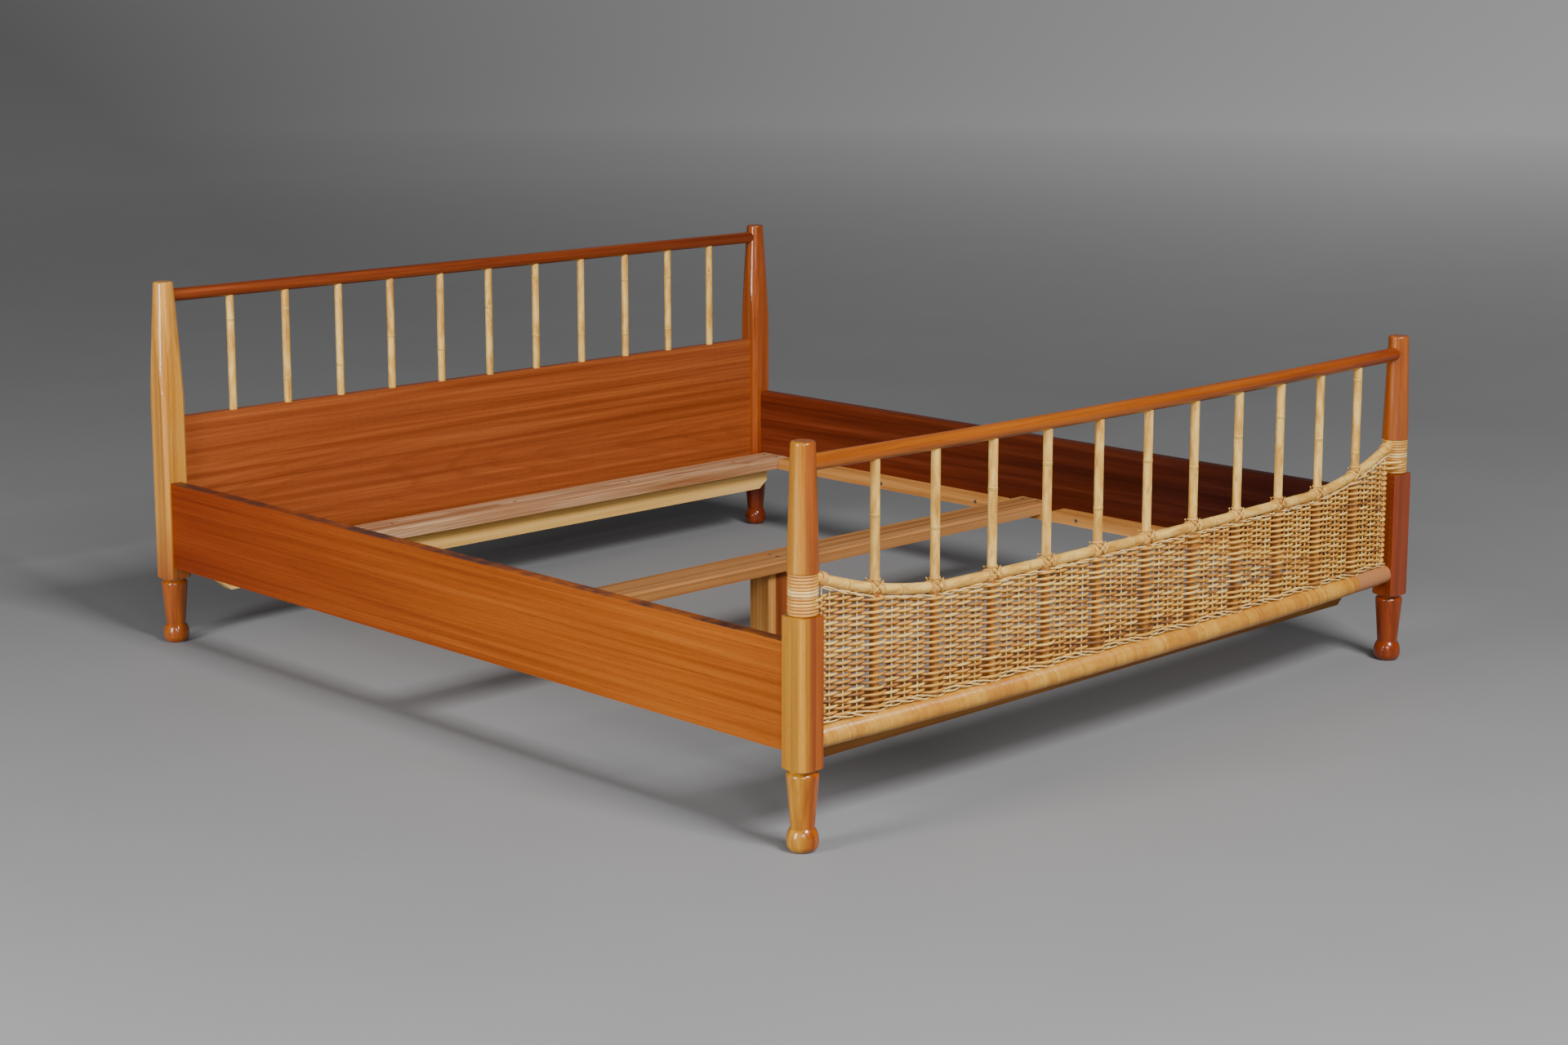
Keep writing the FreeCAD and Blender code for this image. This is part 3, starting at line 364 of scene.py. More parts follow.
def add_piece(name, mesh, material):
    """An object from a mesh, smooth and in its material."""
    mesh.shade_smooth()
    mesh.materials.append(material)
    piece = bpy.data.objects.new(name, mesh)
    bpy.context.collection.objects.link(piece)
    return piece


def make_mesh(name, material, strands, sides=8):
    """One piece from many strands: each is points, radii across and along its up, that up, and a tone."""
    places, quads, quad_uvs, caps, tones = [], [], [], [], []
    start = 0
    here = np.arange(sides)[None, :]
    turn = np.linspace(0, 2 * math.pi, sides, endpoint=False)
    for points, radii, up, tone in strands:
        points = np.asarray(points, float)
        count = len(points)
        way = np.gradient(points, axis=0)
        way /= np.linalg.norm(way, axis=1)[:, None]
        side = np.cross(way, np.broadcast_to(up, points.shape))
        side /= np.linalg.norm(side, axis=1)[:, None]
        top = np.cross(side, way)
        radii = np.broadcast_to(radii, (count, 2))
        shell = (points[:, None] + side[:, None] * (np.cos(turn)[None, :, None] * radii[:, None, :1])
                 + top[:, None] * (np.sin(turn)[None, :, None] * radii[:, None, 1:]))
        places.append(shell.reshape(-1, 3))
        tones.append(np.repeat(np.broadcast_to(tone, count), sides))
        quads.append(ring_faces(start, count, sides))
        steps = np.linalg.norm(np.diff(points, axis=0), axis=1)
        length = np.concatenate([[0], np.cumsum(steps)]) + start * UV_SHIFT
        girth = 2 * math.pi * radii.mean() / sides
        corners = ((length[:-1], here), (length[:-1], here + 1), (length[1:], here + 1), (length[1:], here))
        pairs = [np.stack(np.broadcast_arrays(run[:, None], number * girth), -1) for run, number in corners]
        quad_uvs.append(np.stack(pairs, axis=2).reshape(-1, 2))
        caps.append(list(range(start + sides - 1, start - 1, -1)))
        caps.append(list(range(start + (count - 1) * sides, start + count * sides)))
        start += count * sides
    faces = np.concatenate(quads).tolist() + caps
    mesh = bpy.data.meshes.new(name)
    mesh.from_pydata(np.concatenate(places).tolist(), [], faces)
    uvs = np.concatenate(quad_uvs + [np.zeros((len(caps) * sides, 2))])
    mesh.uv_layers.new(name="strand").data.foreach_set("uv", uvs.ravel())
    set_values(mesh, "tone", np.concatenate(tones))
    piece = add_piece(name, mesh, material)
    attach(piece, "root")
    return piece


# The weave

SPINDLES = 11
WEAVER_RADIUS = 0.0027
ROW_PITCH = 0.00585
WEAVE_LOW = 0.2325
SELVEDGE = 0.8885

# Below the curved rail's centre line
ROW_HOOP_GAP = 0.011
TOP_HOOP_GAP = 0.010

# Between two upright elements a weaver goes from one face of the panel to the other
ELEMENTS_BETWEEN = (0.043, 0.076, 0.109)
SPINDLE_STANDOFF = 0.0015
STAKE_STANDOFF = 0.0022
STAND_RANGE = (0.9, 1.1)
SAMPLES = 8
EASE = 1.25
ROW_WANDER = 0.00045
FRONT_LIFT = 0.0004
# Painted shade: a weaver's tone is lowered where it passes behind an upright and raised where it is in front
FRONT_BACK_PAINTED_SHADE = 0.20
PAINTED_SHADE_SHIFT = 0.07
SHORTEST_RUN = 0.10
LONGEST_RUN = 0.55

# At the posts the high rows run on to the winding
RUN_ON_RISE = 0.0030
RUN_ON_REACH = 0.036
RUN_ON_PROUD = 0.0026
RUN_ON_LIFT = 0.001
END_POINTS = 6

# Stakes, from inside the bottom pole's wrap up into the curved rail
STAKE_RADIUS = 0.0017
STAKE_SINK = 0.004
STAKE_HOOP_DROP = 0.006
STAKE_WANDER = 0.0004
STAKE_POINTS = 14


def patchy(xs):
    """Tones along a row: a weaver runs for a while and then another carries on."""
    tone = np.zeros(len(xs))
    at = xs[0]
    while at < xs[-1]:
        reach = at + rng.uniform(SHORTEST_RUN, LONGEST_RUN)
        tone[(xs >= at) & (xs <= reach)] = np.clip(rng.normal(0.5, 0.2), 0.02, 0.98)
        at = reach
    return tone


def weave_elements():
    """Where the rows cross something upright, left to right, and whether it is a spindle."""
    middle = SPINDLES // 2
    found = [(-SELVEDGE, False)]
    found += [(-middle * FOOT_BAY - reach, False) for reach in reversed(ELEMENTS_BETWEEN)]
    for index in range(SPINDLES):
        place = (index - middle) * FOOT_BAY
        found.append((place, True))
        found += [(place + reach, False) for reach in ELEMENTS_BETWEEN]
    found.append((SELVEDGE, False))
    return found


ELEMENTS = weave_elements()


def between(values, shares):
    """Values at shares of the way from each given one to the next, and the last one at the end."""
    steps = values[:-1, None] * (1 - shares) + values[1:, None] * shares
    return np.append(steps.ravel(), values[-1])


def weave_row(row):
    """Stretches of one row, where it runs below the curved rail."""
    height = WEAVE_LOW + row * ROW_PITCH
    xs = np.array([x for x, _ in ELEMENTS])
    side = np.array([1 if (row + i) % 2 == 0 else -1 for i in range(len(ELEMENTS))])
    reach = np.where([thick for _, thick in ELEMENTS],
                     SPINDLE_RADIUS + SPINDLE_STANDOFF, STAKE_RADIUS + STAKE_STANDOFF)
    stand = side * reach * rng.uniform(*STAND_RANGE, len(xs))
    lift = rng.normal(0, ROW_WANDER, len(xs))
    share = np.arange(SAMPLES) / SAMPLES
    ease = 0.5 - 0.5 * np.cos(math.pi * np.clip(share * EASE - (EASE - 1) / 2, 0, 1))
    x = between(xs, share)
    off = between(stand, ease)
    front = between(side, ease)
    z = height + between(lift, share) + FRONT_LIFT * front
    # Random patches of tone, with painted shade on the stretches that pass behind
    tone = patchy(x) + FRONT_BACK_PAINTED_SHADE * front - PAINTED_SHADE_SHIFT
    # A weaver is broadest where it passes in front
    across = WEAVER_RADIUS * (0.92 + 0.05 * front)
    along = WEAVER_RADIUS * (0.95 + 0.16 * front)
    inside = z < rise(x) - ROW_HOOP_GAP
    strands = []
    edges = np.flatnonzero(np.diff(np.concatenate([[0], inside.astype(int), [0]])))
    for begin, end in edges.reshape(-1, 2):
        if end - begin < 2 * SAMPLES:
            continue
        part = slice(begin, end)
        points = np.stack([x[part], bow(x[part]) - off[part], z[part]], axis=1)
        radii = np.stack([across[part], along[part]], axis=1)
        shades = tone[part]
        for at_start, at_post in ((True, begin == 0), (False, end == len(x))):
            if at_post:
                points, radii, shades = round_end(points, radii, shades, at_start, height)
        strands.append((points, radii, UP, shades))
    return strands


def round_end(points, radii, shades, at_start, height):
    """At the post a row turns round the last stake, or runs on to the winding where it is high enough."""
    last = slice(0, 1) if at_start else slice(-1, None)
    out = -1 if at_start else 1
    tip = points[last][0]
    front = 1 if tip[1] < bow(tip[0]) else -1
    if height > NECK_LOW + RUN_ON_RISE:
        goal_y = -HALF_LENGTH - front * (NECK_RADIUS + RUN_ON_PROUD)
        share = np.linspace(0.2, 1, END_POINTS)[:, None]
        more = np.concatenate([
            tip[0] + out * RUN_ON_REACH * share,
            tip[1] + (goal_y - tip[1]) * np.sin(share * math.pi / 2),
            tip[2] + RUN_ON_LIFT * share,
        ], axis=1)
    elif front > 0:
        angle = np.linspace(0.15, 1, END_POINTS)[:, None] * math.pi
        swing = abs(tip[1] - bow(tip[0]))
        more = np.concatenate([
            tip[0] + out * swing * np.sin(angle),
            bow(tip[0]) - swing * np.cos(angle),
            tip[2] + ROW_PITCH * angle / math.pi,
        ], axis=1)
    else:
        return points, radii, shades
    added = [more[::out]] + [np.repeat(values[last], END_POINTS, axis=0) for values in (radii, shades)]
    return [np.concatenate([new, old] if at_start else [old, new])
            for old, new in zip((points, radii, shades), added)]


def make_weave(material):
    """Rows of cane from the braid up to the curved rail."""
    top = rise(HOOP_END) - TOP_HOOP_GAP
    strands = []
    for row in range(int((top - WEAVE_LOW) / ROW_PITCH)):
        strands += weave_row(row)
    piece = make_mesh("wicker_weave", material, strands)
    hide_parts("wicker_panel")


def make_stakes(material):
    """Thin upright canes between the spindles and at the posts, which the rows run round."""
    strands = []
    for x, thick in ELEMENTS:
        if thick:
            continue
        z = np.linspace(ROLL_HEIGHT + ROLL_RADIUS - STAKE_SINK, rise(x) - STAKE_HOOP_DROP, STAKE_POINTS)
        wander = rng.normal(0, STAKE_WANDER, len(z))
        points = np.stack([x + wander, np.full(len(z), float(bow(x))), z], axis=1)
        strands.append((points, (STAKE_RADIUS, STAKE_RADIUS), (0, 1, 0), rng.uniform(0.3, 0.9)))
    make_mesh("wicker_stakes", material, strands)


# The borders

BORDER_REACH = 0.893
BORDER_POINTS = 900
BORDER_KNOTS = 60
BORDER_WANDER = 0.0006
BRAID_HEIGHT = 0.2270
BRAID_DIP = 0.0024
DIP_ASIDE = 0.012
BORDER_HOOP_GAP = 0.0144


def twist(x, height, out, swing_y, swing_z, wave, phases, radius, tone):
    """Strands that twist about a line in front of the weave."""
    strands = []
    knots = np.linspace(x[0], x[-1], BORDER_KNOTS)
    for phase in phases:
        angle = 2 * math.pi * (x / wave + phase)
        wobble = np.interp(x, knots, rng.normal(0, BORDER_WANDER, BORDER_KNOTS))
        y = bow(x) - out - swing_y * np.sin(angle)
        points = np.stack([x, y, height + swing_z * np.cos(angle) + wobble], axis=1)
        strands.append((points, (radius, radius), UP, tone + rng.normal(0, TONE_SPREAD)))
    return strands


def make_borders(material):
    """A braid of three strands over the bottom pole, and a pair of strands under the curved rail."""
    x = np.linspace(-BORDER_REACH, BORDER_REACH, BORDER_POINTS)
    dip = BRAID_DIP * np.cos(2 * math.pi * (x + DIP_ASIDE) / FOOT_BAY)
    low = twist(x, BRAID_HEIGHT - dip, out=0.0042, swing_y=0.0040, swing_z=0.0042, wave=0.114,
                phases=(0, 1 / 3, 2 / 3), radius=0.00150, tone=0.6)
    high = twist(x, rise(x) - BORDER_HOOP_GAP, out=0.0050, swing_y=0.0024, swing_z=0.0018, wave=0.076,
                 phases=(0, 0.5), radius=0.00135, tone=0.6)
    make_mesh("wicker_foot_braid", material, low)
    make_mesh("wicker_top_border", material, high)


# The wrapped bottom pole

ROLL_SIDES = 28
ROLL_STEP = 0.00052
ROLL_REACH = HALF_WIDTH - POST_HALF
SPARE_REACH = 0.03

# Turns, and how they lean round the pole
NARROW_TURN = 0.0036
EXTRA_TURN = 0.0030
NARROW_SPREAD = 0.00015
EXTRA_SPREAD = 0.0012
BROAD_START = -0.25
BROAD_BLEND = 0.35
BROAD_TURN = 0.005
SLANT = 0.0060
SWAY = 0.0022

# The ridge of each turn and the seam beside it
ROUND_RIDGE = 0.65
FLAT_RIDGE = 0.35
RIDGE_DEPTH = 0.0011
RIDGE_RISE = 0.0009
SEAM_DEPTH = 0.0005
SEAM_RANGE = (0.15, 0.45)
OPEN_SEAMS = 0.13
GROUP_KNOTS = 70
GROUP_SPREAD = 0.0002
TURN_SPREAD = 0.00008

# Tones along the pole, which go over to pink near the right post
ROLL_TONE = 0.56
PATCH_KNOTS = 46
PATCH_SPREAD = 0.12
PINK_START = 0.765
PINK_BLEND = 0.01
PINK_DEPTH = 0.62


def turn_edges():
    """Where each turn of the wrap begins: narrow strands on the left, broader strips on the right."""
    edges = [-ROLL_REACH - SPARE_REACH]
    while edges[-1] < ROLL_REACH + SPARE_REACH:
        broad = np.clip((edges[-1] - BROAD_START) / BROAD_BLEND, 0, 1)
        width = NARROW_TURN + EXTRA_TURN * broad
        spread = NARROW_SPREAD + EXTRA_SPREAD * broad
        edges.append(edges[-1] + rng.normal(width, spread))
    return np.sort(np.array(edges))


def along_roll(x, knots, spread):
    """A random value that changes slowly along the pole."""
    return np.interp(x, np.linspace(-ROLL_REACH, ROLL_REACH, knots), rng.normal(0, spread, knots))


def make_roll(material):
    """Cane wound round the bottom pole: a slanting ridge for each turn, and a pink stretch on the right."""
    edges = turn_edges()
    x = np.arange(-ROLL_REACH, ROLL_REACH, ROLL_STEP)
    turn = np.linspace(0, 2 * math.pi, ROLL_SIDES, endpoint=False)
    wound = x[:, None] + SLANT * np.sin(turn[None, :]) + SWAY * np.cos(turn[None, :])
    number = np.clip(np.searchsorted(edges, wound) - 1, 0, len(edges) - 2)
    width = edges[number + 1] - edges[number]
    phase = (wound - edges[number]) / width
    ridge = np.clip(np.sin(math.pi * phase), 0, 1) ** np.where(width > BROAD_TURN, FLAT_RIDGE, ROUND_RIDGE)
    each = rng.normal(0, 1, len(edges))
    gap = np.where(rng.uniform(0, 1, len(edges)) < OPEN_SEAMS, 1.0, rng.uniform(*SEAM_RANGE, len(edges)))
    group = along_roll(x, GROUP_KNOTS, GROUP_SPREAD)
    radius = ROLL_RADIUS - RIDGE_DEPTH + RIDGE_RISE * ridge + group[:, None] + TURN_SPREAD * each[number]
    radius = np.minimum(radius - SEAM_DEPTH * (1 - ridge) * gap[number], ROLL_RADIUS)
    y = bow(x)[:, None] - radius * np.cos(turn)
    z = ROLL_HEIGHT + radius * np.sin(turn)
    points = np.stack([np.broadcast_to(x[:, None], radius.shape), y, z], axis=-1)
    quads = ring_faces(0, len(x), ROLL_SIDES)[:, ::-1].tolist()
    last = (len(x) - 1) * ROLL_SIDES
    caps = [list(range(ROLL_SIDES)), list(range(last, last + ROLL_SIDES))[::-1]]
    mesh = bpy.data.meshes.new("bottom_rail_wrap")
    mesh.from_pydata(points.reshape(-1, 3).tolist(), [], quads + caps)
    patch = along_roll(x, PATCH_KNOTS, PATCH_SPREAD)
    pink = np.clip((x - PINK_START) / PINK_BLEND, 0, 1) * PINK_DEPTH
    tone = ROLL_TONE + patch[:, None] - pink[:, None] + TONE_SPREAD * each[number]
    set_values(mesh, "tone", np.clip(tone, 0, 1).ravel())
    # Painted shade: the seam beside each turn is darkened, more where the seam is open
    seam_shade = (1 - ridge) * (0.35 + 0.65 * gap[number])
    set_values(mesh, "seam_shade", seam_shade.ravel())
    piece = add_piece("bottom_rail_wrap", mesh, material)
    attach(piece, "root")
    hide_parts("bottom_rail_cane_wrap")


def wound_material(name):
    """Varnished cane: the turn's tone picks its colour, and the seam beside it is painted dark as shade."""
    shader = Shader(name, **{"Coat Weight": 0.35, "Coat Roughness": 0.2, "Specular IOR Level": 0.5})
    tone = shader.named("tone")
    seam_shade = shader.named("seam_shade")
    mottle = shader.noise(shader.where((40.0, 90.0, 90.0)), 1.0, 4.0, 0.6)
    shade = shader.maths("ADD", tone, shader.span(mottle, 0.3, 0.7, -0.12, 0.12))
    base = shader.ramp(shade, (0.04, "ad7448"), (0.22, "b06c28"), (0.40, "b67722"), (0.62, "c58a2d"),
                       (0.95, "d5a548"))
    # Painted shade in the seams
    base = shader.mix(shader.span(seam_shade, 0.35, 0.95, 0.0, 0.85), base, colour("5e340c"))
    shader.feed(shader.skin.inputs["Base Color"], base)
    shader.feed(shader.skin.inputs["Roughness"], shader.span(mottle, 0.3, 0.7, 0.30, 0.45))
    shader.bump(mottle, 0.0002, 0.4)
    return shader.material


# Windings and ties

# The neck of each foot post
NECK_TURNS = 13
NECK_TONE = (0.42, 0.13)
CREAM_TURNS = (6, 7)
CREAM_TONE = 0.86
TURN_PROUD = (0.0024, 0.0029)
TURN_RISE = 0.0006
TURN_RADIUS = 0.0026
TURN_HEIGHT_SHARE = 0.485
TURN_OVERLAP = 1.02
NECK_SAMPLES = 56
NECK_SIDES = 12


def coil(centre, axis, first, radius, pitch, turns, samples=28):
    """Points of a winding about an axis, where first is a direction square to it."""
    axis = Vector(axis).normalized()
    first = (Vector(first) - axis * axis.dot(Vector(first))).normalized()
    second = axis.cross(first)
    angle = np.linspace(0, 2 * math.pi * turns, int(samples * turns) + 1)
    along = (angle / (2 * math.pi) - turns / 2) * pitch
    spread = np.cos(angle) * radius
    swing = np.sin(angle) * radius
    return (np.array(centre)[None] + along[:, None] * np.array(axis) + spread[:, None] * np.array(first)
            + swing[:, None] * np.array(second))


def make_post_wraps(material):
    """Round turns of cane that fill the neck between the block and the shoulder above."""
    pitch = (NECK_TOP - NECK_LOW) / NECK_TURNS
    for side, word in zip(SIDES, ("left", "right")):
        strands = []
        for turn in range(NECK_TURNS):
            height = NECK_LOW + (turn + 0.5) * pitch
            tone = CREAM_TONE if turn in CREAM_TURNS else np.clip(rng.normal(*NECK_TONE), 0.1, 0.7)
            radius = NECK_RADIUS + rng.uniform(*TURN_PROUD)
            loop = coil((side * HALF_WIDTH, -HALF_LENGTH, height), UP, (1, 0, 0), radius, TURN_RISE,
                        TURN_OVERLAP, NECK_SAMPLES)
            strands.append((loop, (TURN_RADIUS, TURN_HEIGHT_SHARE * pitch), UP, tone))
        piece = make_mesh("post_wrap_" + word, material, strands, NECK_SIDES)
        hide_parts("post_winding_" + word, "post_band_" + word)


# At each spindle a loop on either side, crossed straps and a collar, and loops at both ends of the rail
TIE_ASIDE = 0.0142
TIE_PROUD = 0.0014
TIE_PITCH = 0.0032
TIE_TURNS = 2.0
TIE_SECTION = (0.0011, 0.0016)
STRAP_POINTS = 15
STRAP_LEAN = 0.0130
STRAP_RISE = 0.0125
STRAP_LIFT = 0.0040
STRAP_PROUD = 0.0016
STRAP_HUG = 0.45
STRAP_SECTION = (0.0012, 0.0016)
COLLAR_HEIGHT = 0.0165
COLLAR_PROUD = 0.0012
COLLAR_PITCH = 0.0026
COLLAR_TURNS = 1.5
COLLAR_SECTION = (0.0011, 0.0014)
END_TIE_PLACE = 0.8886
END_TIE_PROUD = 0.0016
END_TIE_TURNS = 4.0
END_TIE_SECTION = (0.0013, 0.0015)
END_TIE_TONE = 0.6
SPOT_STEP = 0.001


def hoop_spot(x):
    """A point on the curved rail's centre line, and the rail's direction there."""
    before, after = x - SPOT_STEP, x + SPOT_STEP
    way = Vector((after - before, float(bow(after) - bow(before)), float(rise(after) - rise(before))))
    return Vector((x, float(bow(x)), float(rise(x)))), way.normalized()


def make_spindle_ties(material):
    """Loops on the curved rail each side of a spindle, straps that cross over its foot, and a collar."""
    strands = []
    up = Vector(UP)
    share = np.linspace(-1, 1, STRAP_POINTS)[:, None]
    lift = np.array(up)[None] * (share * STRAP_RISE + STRAP_LIFT)
    hug = np.sqrt(np.clip(1 - STRAP_HUG * share ** 2, 0, 1)) * (HOOP_RADIUS + STRAP_PROUD)
    for index in range(SPINDLES):
        x = (index - SPINDLES // 2) * FOOT_BAY
        tone = rng.uniform(0.3, 0.8)
        for step in SIDES:
            centre, way = hoop_spot(x + step * TIE_ASIDE)
            loops = coil(centre, way, TO_FOOT, HOOP_RADIUS + TIE_PROUD, TIE_PITCH, TIE_TURNS)
            strands.append((loops, TIE_SECTION, tuple(way), tone + rng.normal(0, TONE_SPREAD)))
        centre, way = hoop_spot(x)
        for step in SIDES:
            for front in SIDES:
                across = np.array(way)[None] * share * STRAP_LEAN * step
                proud = np.array(TO_FOOT)[None] * front * hug
                points = np.array(centre)[None] + across + lift + proud
                strands.append((points, STRAP_SECTION, (0, 1, 0), tone + rng.normal(0, TONE_SPREAD)))
        collar = coil(centre + up * COLLAR_HEIGHT, up, TO_FOOT, SPINDLE_RADIUS + COLLAR_PROUD, COLLAR_PITCH,
                      COLLAR_TURNS)
        strands.append((collar, COLLAR_SECTION, UP, tone))
    piece = make_mesh("spindle_ties", material, strands)
    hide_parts("spindle_lashings")


def make_hoop_ties(material):
    """Four turns of cane round each end of the curved rail."""
    strands = []
    for side in SIDES:
        centre, way = hoop_spot(side * END_TIE_PLACE)
        loops = coil(centre, way, TO_FOOT, HOOP_RADIUS + END_TIE_PROUD, TIE_PITCH, END_TIE_TURNS)
        strands.append((loops, END_TIE_SECTION, tuple(way), END_TIE_TONE))
    piece = make_mesh("hoop_end_ties", material, strands)
    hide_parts("hoop_end_lashings")


# Joints of the poles

RING_PROFILE = ((-0.0036, 0.0001), (-0.0018, 0.0004), (-0.0005, 0.0005), (0.0002, 0.0002), (0.0009, 0.0004),
                (0.0030, 0.0001))
RING_TONES = (0.75, 0.65, 0.5, 0.1, 0.6, 0.75)
RING_SIDES = 24
FOOT_JOINTS = (0.49, 0.66)
HEAD_JOINTS = (0.56, 0.76)
JOINT_BAND = 0.05
ONE_JOINT_SHARE = 0.75
HOOP_JOINTS = (-0.83, -0.70, -0.36, -0.05, 0.22, 0.52, 0.71, 0.86)


def pole_ring(centre, way, radius, up):
    """A pole's joint: a low swelling with a groove, as a short turned collar."""
    axis = Vector(way).normalized()
    points = np.array([np.array(centre) + np.array(axis) * along for along, _ in RING_PROFILE])
    radii = np.array([[radius + out, radius + out] for _, out in RING_PROFILE])
    return points, radii, up, np.array(RING_TONES)


def joint_heights(low, high):
    """One joint between two heights, or now and then one near each of them."""
    if rng.uniform() < ONE_JOINT_SHARE:
        return [rng.uniform(low, high)]
    return [rng.uniform(low, low + JOINT_BAND), rng.uniform(high - JOINT_BAND, high)]


def make_pole_rings(material):
    """A joint or two on each spindle, and some along the curved rail."""
    strands = []
    for index in range(SPINDLES):
        number = index - SPINDLES // 2
        foot_x = number * FOOT_BAY
        foot = (foot_x, float(bow(foot_x)), FOOT_JOINTS)
        head = (number * HEAD_BAY, HALF_LENGTH, HEAD_JOINTS)
        for x, y, span in (foot, head):
            strands += [pole_ring((x, y, height), UP, SPINDLE_RADIUS, (0, 1, 0))
                        for height in joint_heights(*span)]
    for x in HOOP_JOINTS:
        centre, way = hoop_spot(x)
        strands.append(pole_ring(centre, way, HOOP_RADIUS, UP))
    make_mesh("pole_joint_rings", material, strands, RING_SIDES)


# Camera and stage
FLOOR_RADIUS = 600
FLOOR_SIDES = 64
add_camera()
floor_mesh = bpy.data.meshes.new("floor")
floor_edge = [(FLOOR_RADIUS * math.cos(angle), FLOOR_RADIUS * math.sin(angle), 0)
              for angle in np.linspace(0, 2 * math.pi, FLOOR_SIDES, endpoint=False)]
floor_mesh.from_pydata(floor_edge, [], [list(range(FLOOR_SIDES))])
floor = bpy.data.objects.new("floor", floor_mesh)
bpy.context.collection.objects.link(floor)
floor_mesh.materials.append(studio_grey("studio_grey"))
add_world((0.42, 0.42, 0.42), 0.25)
add_light("key_softbox", (-0.9, -5.4, 5.0), (0, 0, 0.2), (2.0, 1.6), 560)
add_light("left_softbox", (-5.4, -0.3, 1.7), (-0.4, 0, 0.5), (1.4, 2.8), 250)
add_light("strip_box", (-2.6, -4.0, 1.5), (-0.9, -1.0, 0.5), (0.25, 1.8), 22)
add_light("front_softbox", (-4.4, -5.2, 3.0), (-0.4, -0.6, 0.2), (2.4, 1.6), 110)

# Wood
post = {"pitch": 0.004, "warp": 1.2, "mark": 0.35, "coat": 0.85, "gloss": 0.3, "fine": 70.0}
raw = {"coat": 0.05, "gloss": 0.45}
# Painted shade: the post's front face, past X -0.937, is tinted darker and redder than its left face
dress(wood("post_foot_left_wood", "Z", "8a560a", "b07614", "ca9028", (-0.87, -1.14), (0.02, 0.01), seed=1,
           drift=("X", -0.957, -0.937, "dca474"), **post), "foot_post_left")
dress(wood("post_foot_right_wood", "Z", "7a3a12", "9c5018", "b06022", (0.86, -1.12), (0.01, 0.02), seed=2,
           drift=("Z", 0.50, 0.42, "deb494"), **post), "foot_post_right")
dress(wood("post_head_left_wood", "Z", "a0621e", "c68832", "d89e46", (-0.86, 0.93), (0.02, 0.01), seed=3,
           drift=("Z", 0.30, 0.14, "c8987c"), **post), "head_post_left")
dress(wood("post_head_right_wood", "Z", "74320c", "95450f", "ab591c", (0.87, 0.93), (0.01, 0.02), seed=4,
           drift=("Z", 0.30, 0.14, "dcb0a0"), **post), "head_post_right")
dress(wood("head_rail_wood", "X", "5c220c", "7e3613", "98481e", (1.09, 0.76), (0.01, 0.01), seed=5,
           pitch=0.005, coat=0.5), "head_top_rail")
dress(wood("foot_rail_wood", "X", "78390a", "9c5210", "b4681c", (-1.12, 0.65), (0.01, 0.01), seed=6,
           pitch=0.005, mark=0.3, coat=0.6, gloss=0.28, drift=("X", -0.2, 0.9, "dcb096")), "foot_top_rail")
dress(wood("panel_wood", "X", "7a3717", "944a22", "a65929", (1.105, 0.30), (0.045, 0.02), seed=7,
           pitch=0.0095, warp=4.5, specks=0.45, fine=75.0, coat=0.2), "head_panel")
# Painted shade: the rail is tinted darker towards the head, where less light falls on it
dress(wood("near_rail_wood", "Y", "864010", "9e5316", "ae6420", (-1.06, 0.06), (0.012, 0.016), seed=8,
           mark=0.3, warp=2.0, fine=85.0, coat=0.05, shine=0.1, drift=("Y", -0.7, 0.9, "d8aac8"),
           edge=(0.3755, 0.3778), worn="4a2c26"), "side_rail_left")
# Painted shade: the rail is tinted darker towards the foot end, to hold down the key light that falls there
dress(wood("far_rail_wood", "Y", "4e1c0c", "6a2a12", "803a1e", (1.08, 0.42), (0.015, 0.02), seed=9,
           pitch=0.008, mark=0.4, warp=3.0, coat=0.06, drift=("Y", 0.9, -0.7, "8a7878")), "side_rail_right")
dress(wood("ledger_wood", "Y", "9c6230", "c08240", "d69c58", (0.0, 0.05), (0.0, 0.01), seed=10,
           pitch=0.004, mark=0.3, specks=0.2, **raw), "ledger_left", "ledger_right")
dress(wood("head_beam_wood", "X", "8c5630", "c49e78", "dcbc98", (0.935, 0.14), (0.03, 0.012), seed=11,
           pitch=0.0045, mark=0.95, warp=5.0, specks=0.1, **raw), "head_cross_beam")
dress(wood("middle_beam_wood", "X", "7e4e2a", "a6703e", "bc8a56", (0.03, 0.13), (0.02, 0.008), seed=12,
           pitch=0.004, mark=0.35, fine=80.0, coat=0.05, gloss=0.48, specks=0.2),
      "middle_cross_beam", "foot_cross_beam")
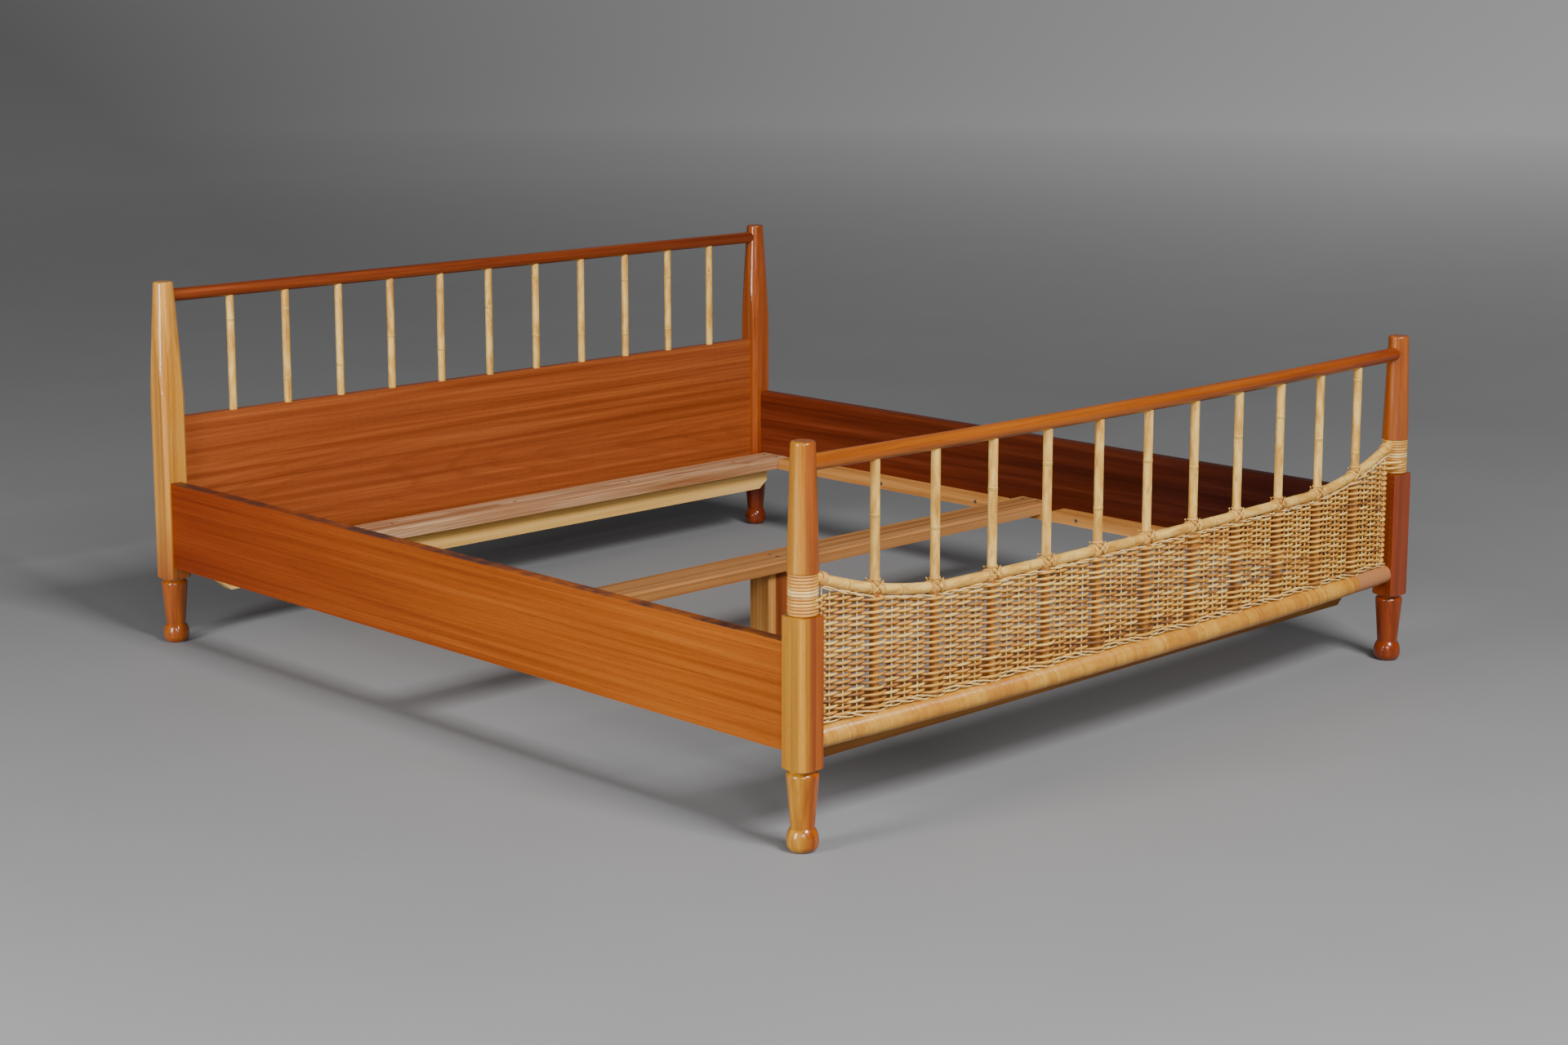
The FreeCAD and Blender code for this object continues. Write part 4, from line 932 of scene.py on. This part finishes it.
dress(wood("head_rib_wood", "X", "c29149", "deb165", "ecc684", (0.95, 0.30), (0.004, 0.01), seed=13,
           mark=0.25, coat=0.03, gloss=0.5, specks=0.1), "head_beam_rib")
dress(wood("foot_rib_wood", "X", "7c4a20", "98652f", "ae7c41", (-0.93, 0.30), (0.004, 0.01), seed=14,
           mark=0.25, coat=0.03, gloss=0.5, specks=0.1), "foot_beam_rib")
dress(wood("leg_core_wood", "Z", "5e2a10", "8c461f", "a2592c", (0.0, -0.10), (0.01, 0.01), seed=15,
           pitch=0.005, **raw), "centre_leg_core")
dress(wood("leg_cheek_wood", "Z", "8c5424", "bd8444", "d3a15c", (0.09, -0.06), (0.01, 0.01), seed=16,
           mark=0.8, **raw), "centre_leg_cheek_left", "centre_leg_cheek_right")

# Rattan and metal
spindles = [name for name in nodes if name.startswith(("head_spindle_", "foot_spindle_"))]
screws = [name for name in nodes if name.endswith("screws")]
dress(rattan("upright_rattan", "Z", seed=1), *spindles)
dress(rattan("level_rattan", "X", seed=2), "curved_rattan_rail", "foot_bottom_rail")
# Painted shade: the lower foot spindles get a darker copy of the rattan
dress(rattan("shaded_rattan", "Z", seed=3, shade="bc9a70"), "foot_lower_spindles")
dress(metal("screw_steel", "6f6f6c"), *screws)
dress(metal("plate_steel", "5c5c5a"), "rail_hook_plates", "post_strike_plates")

# Cane
# The dark low end of these colours also shows the painted shade on weavers that pass behind
woven = cane("woven_cane", (0.05, "7a4c28"), (0.22, "a26a2a"), (0.38, "c0802e"), (0.55, "d09638"),
             (0.72, "dfab4a"), (0.95, "eac064"))
pale = cane("pale_cane", (0.1, "c89c56"), (0.5, "e2bf78"), (0.9, "f0d49c"), streaks=0.2)
tie = cane("tie_cane", (0.1, "ac752e"), (0.5, "d09e4a"), (0.9, "e6ba6a"), streaks=0.3)
wrap = cane("wrap_cane", (0.1, "ac6e26"), (0.4, "c88c3c"), (0.7, "daa54e"), (0.95, "e6c280"), streaks=0.25)
make_weave(woven)
make_stakes(pale)
make_borders(pale)
make_roll(wound_material("wound_cane"))
make_post_wraps(wrap)
make_spindle_ties(tie)
make_hoop_ties(wrap)
make_pole_rings(cane("joint_cane", (0.0, "6f4c1c"), (0.4, "b98d3c"), (0.7, "dcb457"), streaks=0.2))
